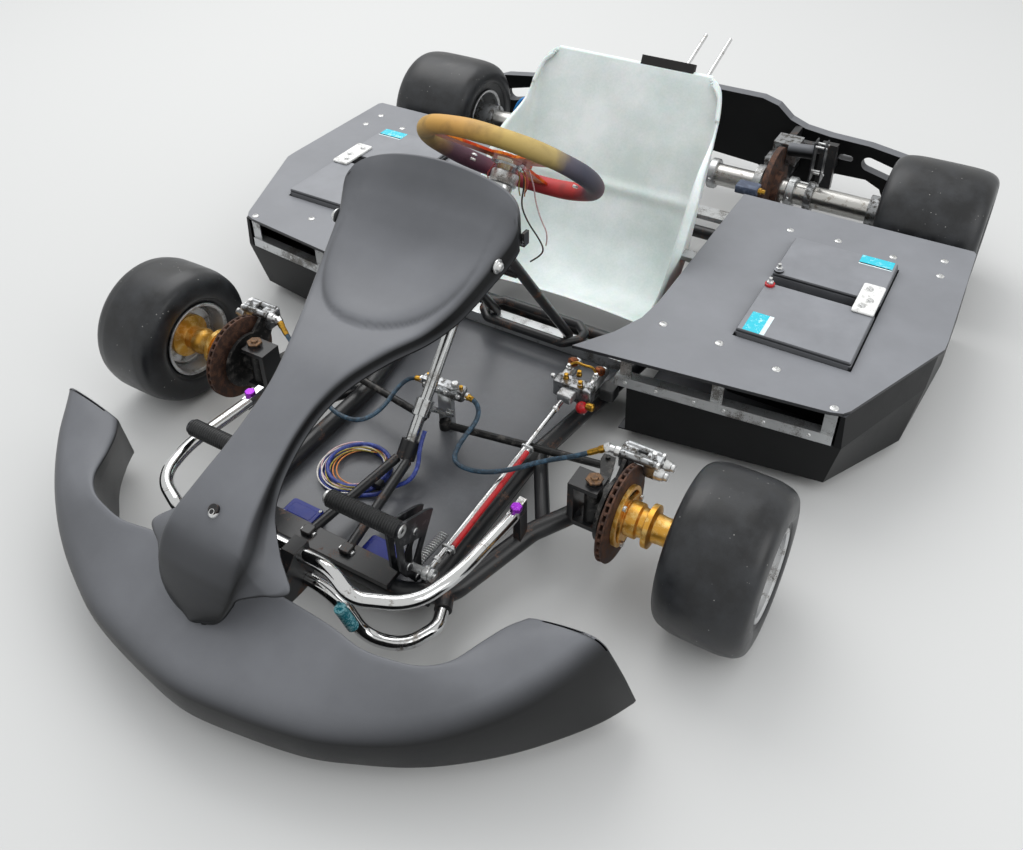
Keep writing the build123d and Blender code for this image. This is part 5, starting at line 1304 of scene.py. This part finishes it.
class KART_OT_brakes(bpy.types.Operator):
    """Twin master cylinders, their pushrod, the splitter, and the two front hoses with their fittings"""

    bl_idname = "kart.brakes"
    bl_label = "Brakes"

    def execute(self, context):
        self.cylinders()
        self.pushrod()
        self.splitter()
        for side, hand in HANDS:
            self.hose(side, hand)
        return {"FINISHED"}

    def cylinders(self):
        """Two cylinders side by side on a block, with knobs, a bridge pipe, plugs and a red ball."""
        parts = [(box(*block), finish) for *block, finish in CYLINDER_BLOCKS]
        for x in (150.0, 202.0):
            parts += of("bright_zinc", lathe(BARREL, (x, 240, 114), Y, 32),
                        hexagon_nut((x, 283, 114), Y, 9.0, 8))
            parts += of("copper_knob", lathe(KNOB, (x, 276, 122), unit((0, 0.25, 1)), 24))
            parts += of("bright_zinc", rod([(x, 262, 120), (x, 262, 134)], 3.4, 12),
                        hexagon_nut((x, 262, 124), Z, 6.2, 5),
                        rod([(x - 12, 225, 127), (x - 12, 225, 133)], 3.8, 12))
        half_turn = np.linspace(-math.pi / 2, math.pi / 2, 13)
        ball = [(11 * math.sin(a), abs(round(11 * math.cos(a), 3))) for a in half_turn]
        parts += of("brass", *(lathe(PLUG, spot, Z, 12) for spot in PLUGS), rod(flowing(BRIDGE), 2.4, 10),
                    lathe(ELBOW, (214, 204, 110), X, 24))
        parts += of("red_plastic", lathe(ball, (206, 203, 103), Z, 28))
        parts += of("bright_zinc", rod([(206, 203, 92), (206, 212, 108)], 3.2, 12))
        build("brake_cylinders", parts, "chassis", ("master_cylinders",))

    def pushrod(self):
        """The rod from the pedal, a red one beside it in two clips, and an eye on a pin at its front."""
        start, end = PUSHROD
        way = unit(end - start)

        def at(share, beside=0.0):
            return start + (end - start) * share + X * beside

        parts = [(rod([at(low, beside), at(high, beside)], radius, 16), finish)
                 for low, high, beside, radius, finish in RODS]
        parts += of("bright_zinc", *(hexagon_nut(at(share), way, 6.6, 7) for share in (0.055, 0.93)))
        clip = rounded(((-7, -6), (14, -6), (14, 6), (-7, 6)), 3, 4)
        parts += of("mill_aluminium", *(
            slab(clip, at(share) - way * 2, X, np.cross(way, X), 4, 0.6) for share in (0.125, 0.69)))
        parts += of("bright_zinc", lathe(PIN, start, X, 24), lathe(EYE, start, X, 24, loop=True))
        build("pushrod", parts, "chassis", ("brake_pushrod",))

    def splitter(self):
        """A block on a post, with two nuts on top, four screws in front and two brass stubs."""
        parts = of("caliper_alloy", box((-41.5, 86.5, 130), (41.5, 105.5, 151.5), 4, 1.5))
        parts += of("mill_aluminium", box((-14, 92, 46.9), (14, 105.5, 130), 3, 1))
        nut = ((0, 0), (0, 7), (7, 7), (9, 5.5), (9, 0))
        parts += of("bright_zinc", *(lathe(nut, (x, 96, 151.2), Z, 6) for x in (-22, 22)),
                    *(button_screw((x, 86.8, 141), -Y, 4.6, 3.4) for x in (-33, -8, 8, 33)))
        parts += of("brass", rod([(-30, 96, 150), (-30, 96, 159)], 3.2, 12),
                    rod([(34, 96, 150), (34, 96, 157)], 3.4, 12))
        build("splitter", parts, "chassis", ("brake_splitter",))

    def hose(self, side, hand):
        """One curved hose from the chassis to the knuckle, with a fitting on each of them."""
        mirror = np.array((side, 1, 1))
        line = flowing(HOSE * mirror, 12)
        build(f"hose_{hand}", of("hose_cover", rod(line, 4.0, 14)), None,
              (f"brake_hose_{hand}",), blend=(("chassis", f"knuckle_{hand}_set"), HOSE_HELD * mirror,
                                              HOSE_MOVED * mirror))
        root = of("brass", ferrule(line[0], line[5], 6.2))
        root += of("bright_zinc", hexagon_nut(line[0], X * side, 7.0, 6))
        build(f"hose_root_{hand}", root, "chassis")
        far = of("brass", ferrule(line[-1], line[-6], 6.0))
        far += of("bright_zinc", lathe(HOSE_NUT, line[-1], line[-5] - line[-1], 6))
        build(f"hose_end_{hand}", far, f"knuckle_{hand}_set")


# On the floor: control boxes (low, high), the column's struts, and rivets as shares of a bay's front
CONTROLS = (((45.5, -217.5, 46.8), (105.5, -172.5, 69.5)), ((-109.5, -209.5, 46.8), (-48.5, -172.5, 67.5)))
STRUTS = ((-30, -230), (42, -230))
RIVETS = (0.05, 0.2, 0.38, 0.52, 0.7, 0.9)


class KART_OT_floor_parts(bpy.types.Operator):
    """Control boxes, the struts' feet, the bays' rivets, tape and the purple nuts of the bars"""

    bl_idname = "kart.floor_parts"
    bl_label = "Floor parts"

    def execute(self, context):
        boxes = []
        for low, high in CONTROLS:
            top = high[2] - 0.3
            lid = box((low[0] + 8, low[1] + 8, top), (high[0] - 8, high[1] - 8, high[2] + 0.4), 4, 0.3)
            boxes += of("blue_box", box(low, high, 6, 2.5), lid)
            spots = ((low[0] + 5, low[1] + 5, top), (high[0] - 5, high[1] - 5, top))
            boxes += of("bright_zinc", *(button_screw(spot, Z, 3.0, 1.8) for spot in spots))
        build("controls", boxes, "chassis", ("control_boxes",))
        feet = []
        for x, y in STRUTS:
            feet += of("painted_tube", box((x - 9, y - 9, 47), (x + 9, y + 10, 94), 4, 1.5))
            feet += of("bright_zinc", *(
                hexagon_nut((x + side * 8.8, y, 84), X * side, 6, 4) for side in (1, -1)))
        for side in (1, -1):
            feet += of("purple_anodised", hexagon_nut((side * 252, -96, 160), Z, 9.5, 8))
            face = unit((side * 33, -360, 0))
            spots = [(side * (240 + 360 * share), 256 + 33 * share + 0.3, 140) for share in RIVETS]
            feet += of("bright_zinc", *(button_screw(spot, face, 3.6, 2.0) for spot in spots))
        feet += of("teal_tape", rod([(131, -347, 146), (141, -339, 104)], 8.5, 16))
        build("bar_bolts", feet, "chassis")
        return {"FINISHED"}


# Round the axle: collars, the blue hose, the roller's clip bolts, a union, and black plugs as painted shade
# in the disc's rings of holes (how many, on which radius, how wide, first angle)
COLLARS_X = (118.0, 300.0, -300.0)
AXLE_COLLAR = ((-9, 25.1), (-9, 33), (-7, 35), (7, 35), (9, 33), (9, 25.1))
REAR_HOSE = [(-352, 1006, 236), (-366, 1004, 236), (-386, 1004, 214), (-398, 1004, 176), (-376, 1006, 136),
             (-352, 1012, 128)]
CLIP_BOLTS = ((1036, 262), (1056, 262), (1036, 206), (1056, 190))
REAR_UNION = ((0, 0), (0, 7), (6, 7), (7, 5), (14, 5), (14, 0))
DISC_HOLES = ((22, 82.0, 3.6, 0.0), (18, 66.0, 4.4, 0.1))


class KART_OT_rear(bpy.types.Operator):
    """Collars of the driven axle, painted shade in its disc's holes, blue hose, roller, and sleeves on the
    seat's rods
    """

    bl_idname = "kart.rear"
    bl_label = "Rear fittings"

    def execute(self, context):
        _, y, z = REAR_WHEEL
        turned = []
        for x in COLLARS_X:
            turned += of("mill_aluminium", lathe(AXLE_COLLAR, (x, y, z), X, 40, loop=True))
            turned += of("bright_zinc", button_screw((x, y - 34.4, z), -Y, 4.0, 2.4))
        build("axle_collars", turned, "rear_axle_set")
        hose = flowing(REAR_HOSE)
        parts = of("sky_hose", rod(hose, 4.2, 12))
        parts += of("brass", ferrule(hose[0], hose[4], 6.0), ferrule(hose[-1], hose[-5], 6.0))
        parts += of("plated_bar", *(rod([(x, 778, 397.4), (x, 1000.2, 471.1)], 4.25, 16) for x in (77, 130)))
        parts += of("bumper_plastic", rod([(279, 1045, 238), (334, 1045, 244)], 15.0, 24))
        parts += of("gun_metal", *(
            box((x - 1.5, 1030, 178), (x + 1.5, 1062, 272), 3, 1) for x in (334.0, 356.0)))
        parts += of("bright_zinc", *(rod([(332, *spot), (360, *spot)], 2.4, 10) for spot in CLIP_BOLTS))
        parts += of("rear_block", box((214, 893, 187), (262, 926, 204), 3, 1.5))
        parts += of("brass", lathe(REAR_UNION, (262, 908, 196), X, 6))
        build("rear_hose", parts, "chassis")
        # Black plugs in the disc's holes: painted shade for the dark holes
        dots = []
        for count, reach, size, turn in DISC_HOLES:
            hole_shadow = ((-6.25, 0), (-6.25, size), (6.25, size), (6.25, 0))
            dots += [lathe(hole_shadow, on_ring(256, REAR_WHEEL, reach, angle), X, 12)
                     for angle in np.arange(count) * 2 * np.pi / count + turn]
        build("rear_disc_hole_shadows", of("pitch_black", *dots), "rear_axle_set")
        return {"FINISHED"}


# In the order in which they are built
PIECES = (KART_OT_stage, KART_OT_cords, KART_OT_cad_finishes, KART_OT_tyres, KART_OT_rims,
          KART_OT_front_hubs, KART_OT_steering, KART_OT_nose, KART_OT_front_panel, KART_OT_seat,
          KART_OT_decks, KART_OT_pedals, KART_OT_brakes, KART_OT_floor_parts, KART_OT_rear)


class KART_PT_panel(bpy.types.Panel):
    """Lists the pieces' operators and their settings"""

    bl_idname = "KART_PT_panel"
    bl_label = "Kart"
    bl_space_type = "VIEW_3D"
    bl_region_type = "UI"
    bl_category = "Kart"

    def draw(self, context):
        for group in (context.scene.kart_sizes, context.scene.kart_colours):
            for name in group.__annotations__:
                self.layout.prop(group, name)
        for piece in PIECES:
            self.layout.operator(piece.bl_idname)


CLASSES = (KartSizes, KartColours, *PIECES, KART_PT_panel)


def register():
    """Register every class, and the two groups of settings on the scene."""
    for made in CLASSES:
        bpy.utils.register_class(made)
    bpy.types.Scene.kart_sizes = bpy.props.PointerProperty(type=KartSizes)
    bpy.types.Scene.kart_colours = bpy.props.PointerProperty(type=KartColours)


def unregister():
    """Take away what register adds, in reverse."""
    del bpy.types.Scene.kart_sizes
    del bpy.types.Scene.kart_colours
    for made in reversed(CLASSES):
        bpy.utils.unregister_class(made)


def main():
    """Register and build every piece."""
    register()
    for piece in PIECES:
        getattr(bpy.ops.kart, piece.bl_idname.split(".")[1])()


if __name__ == "__main__":
    main()
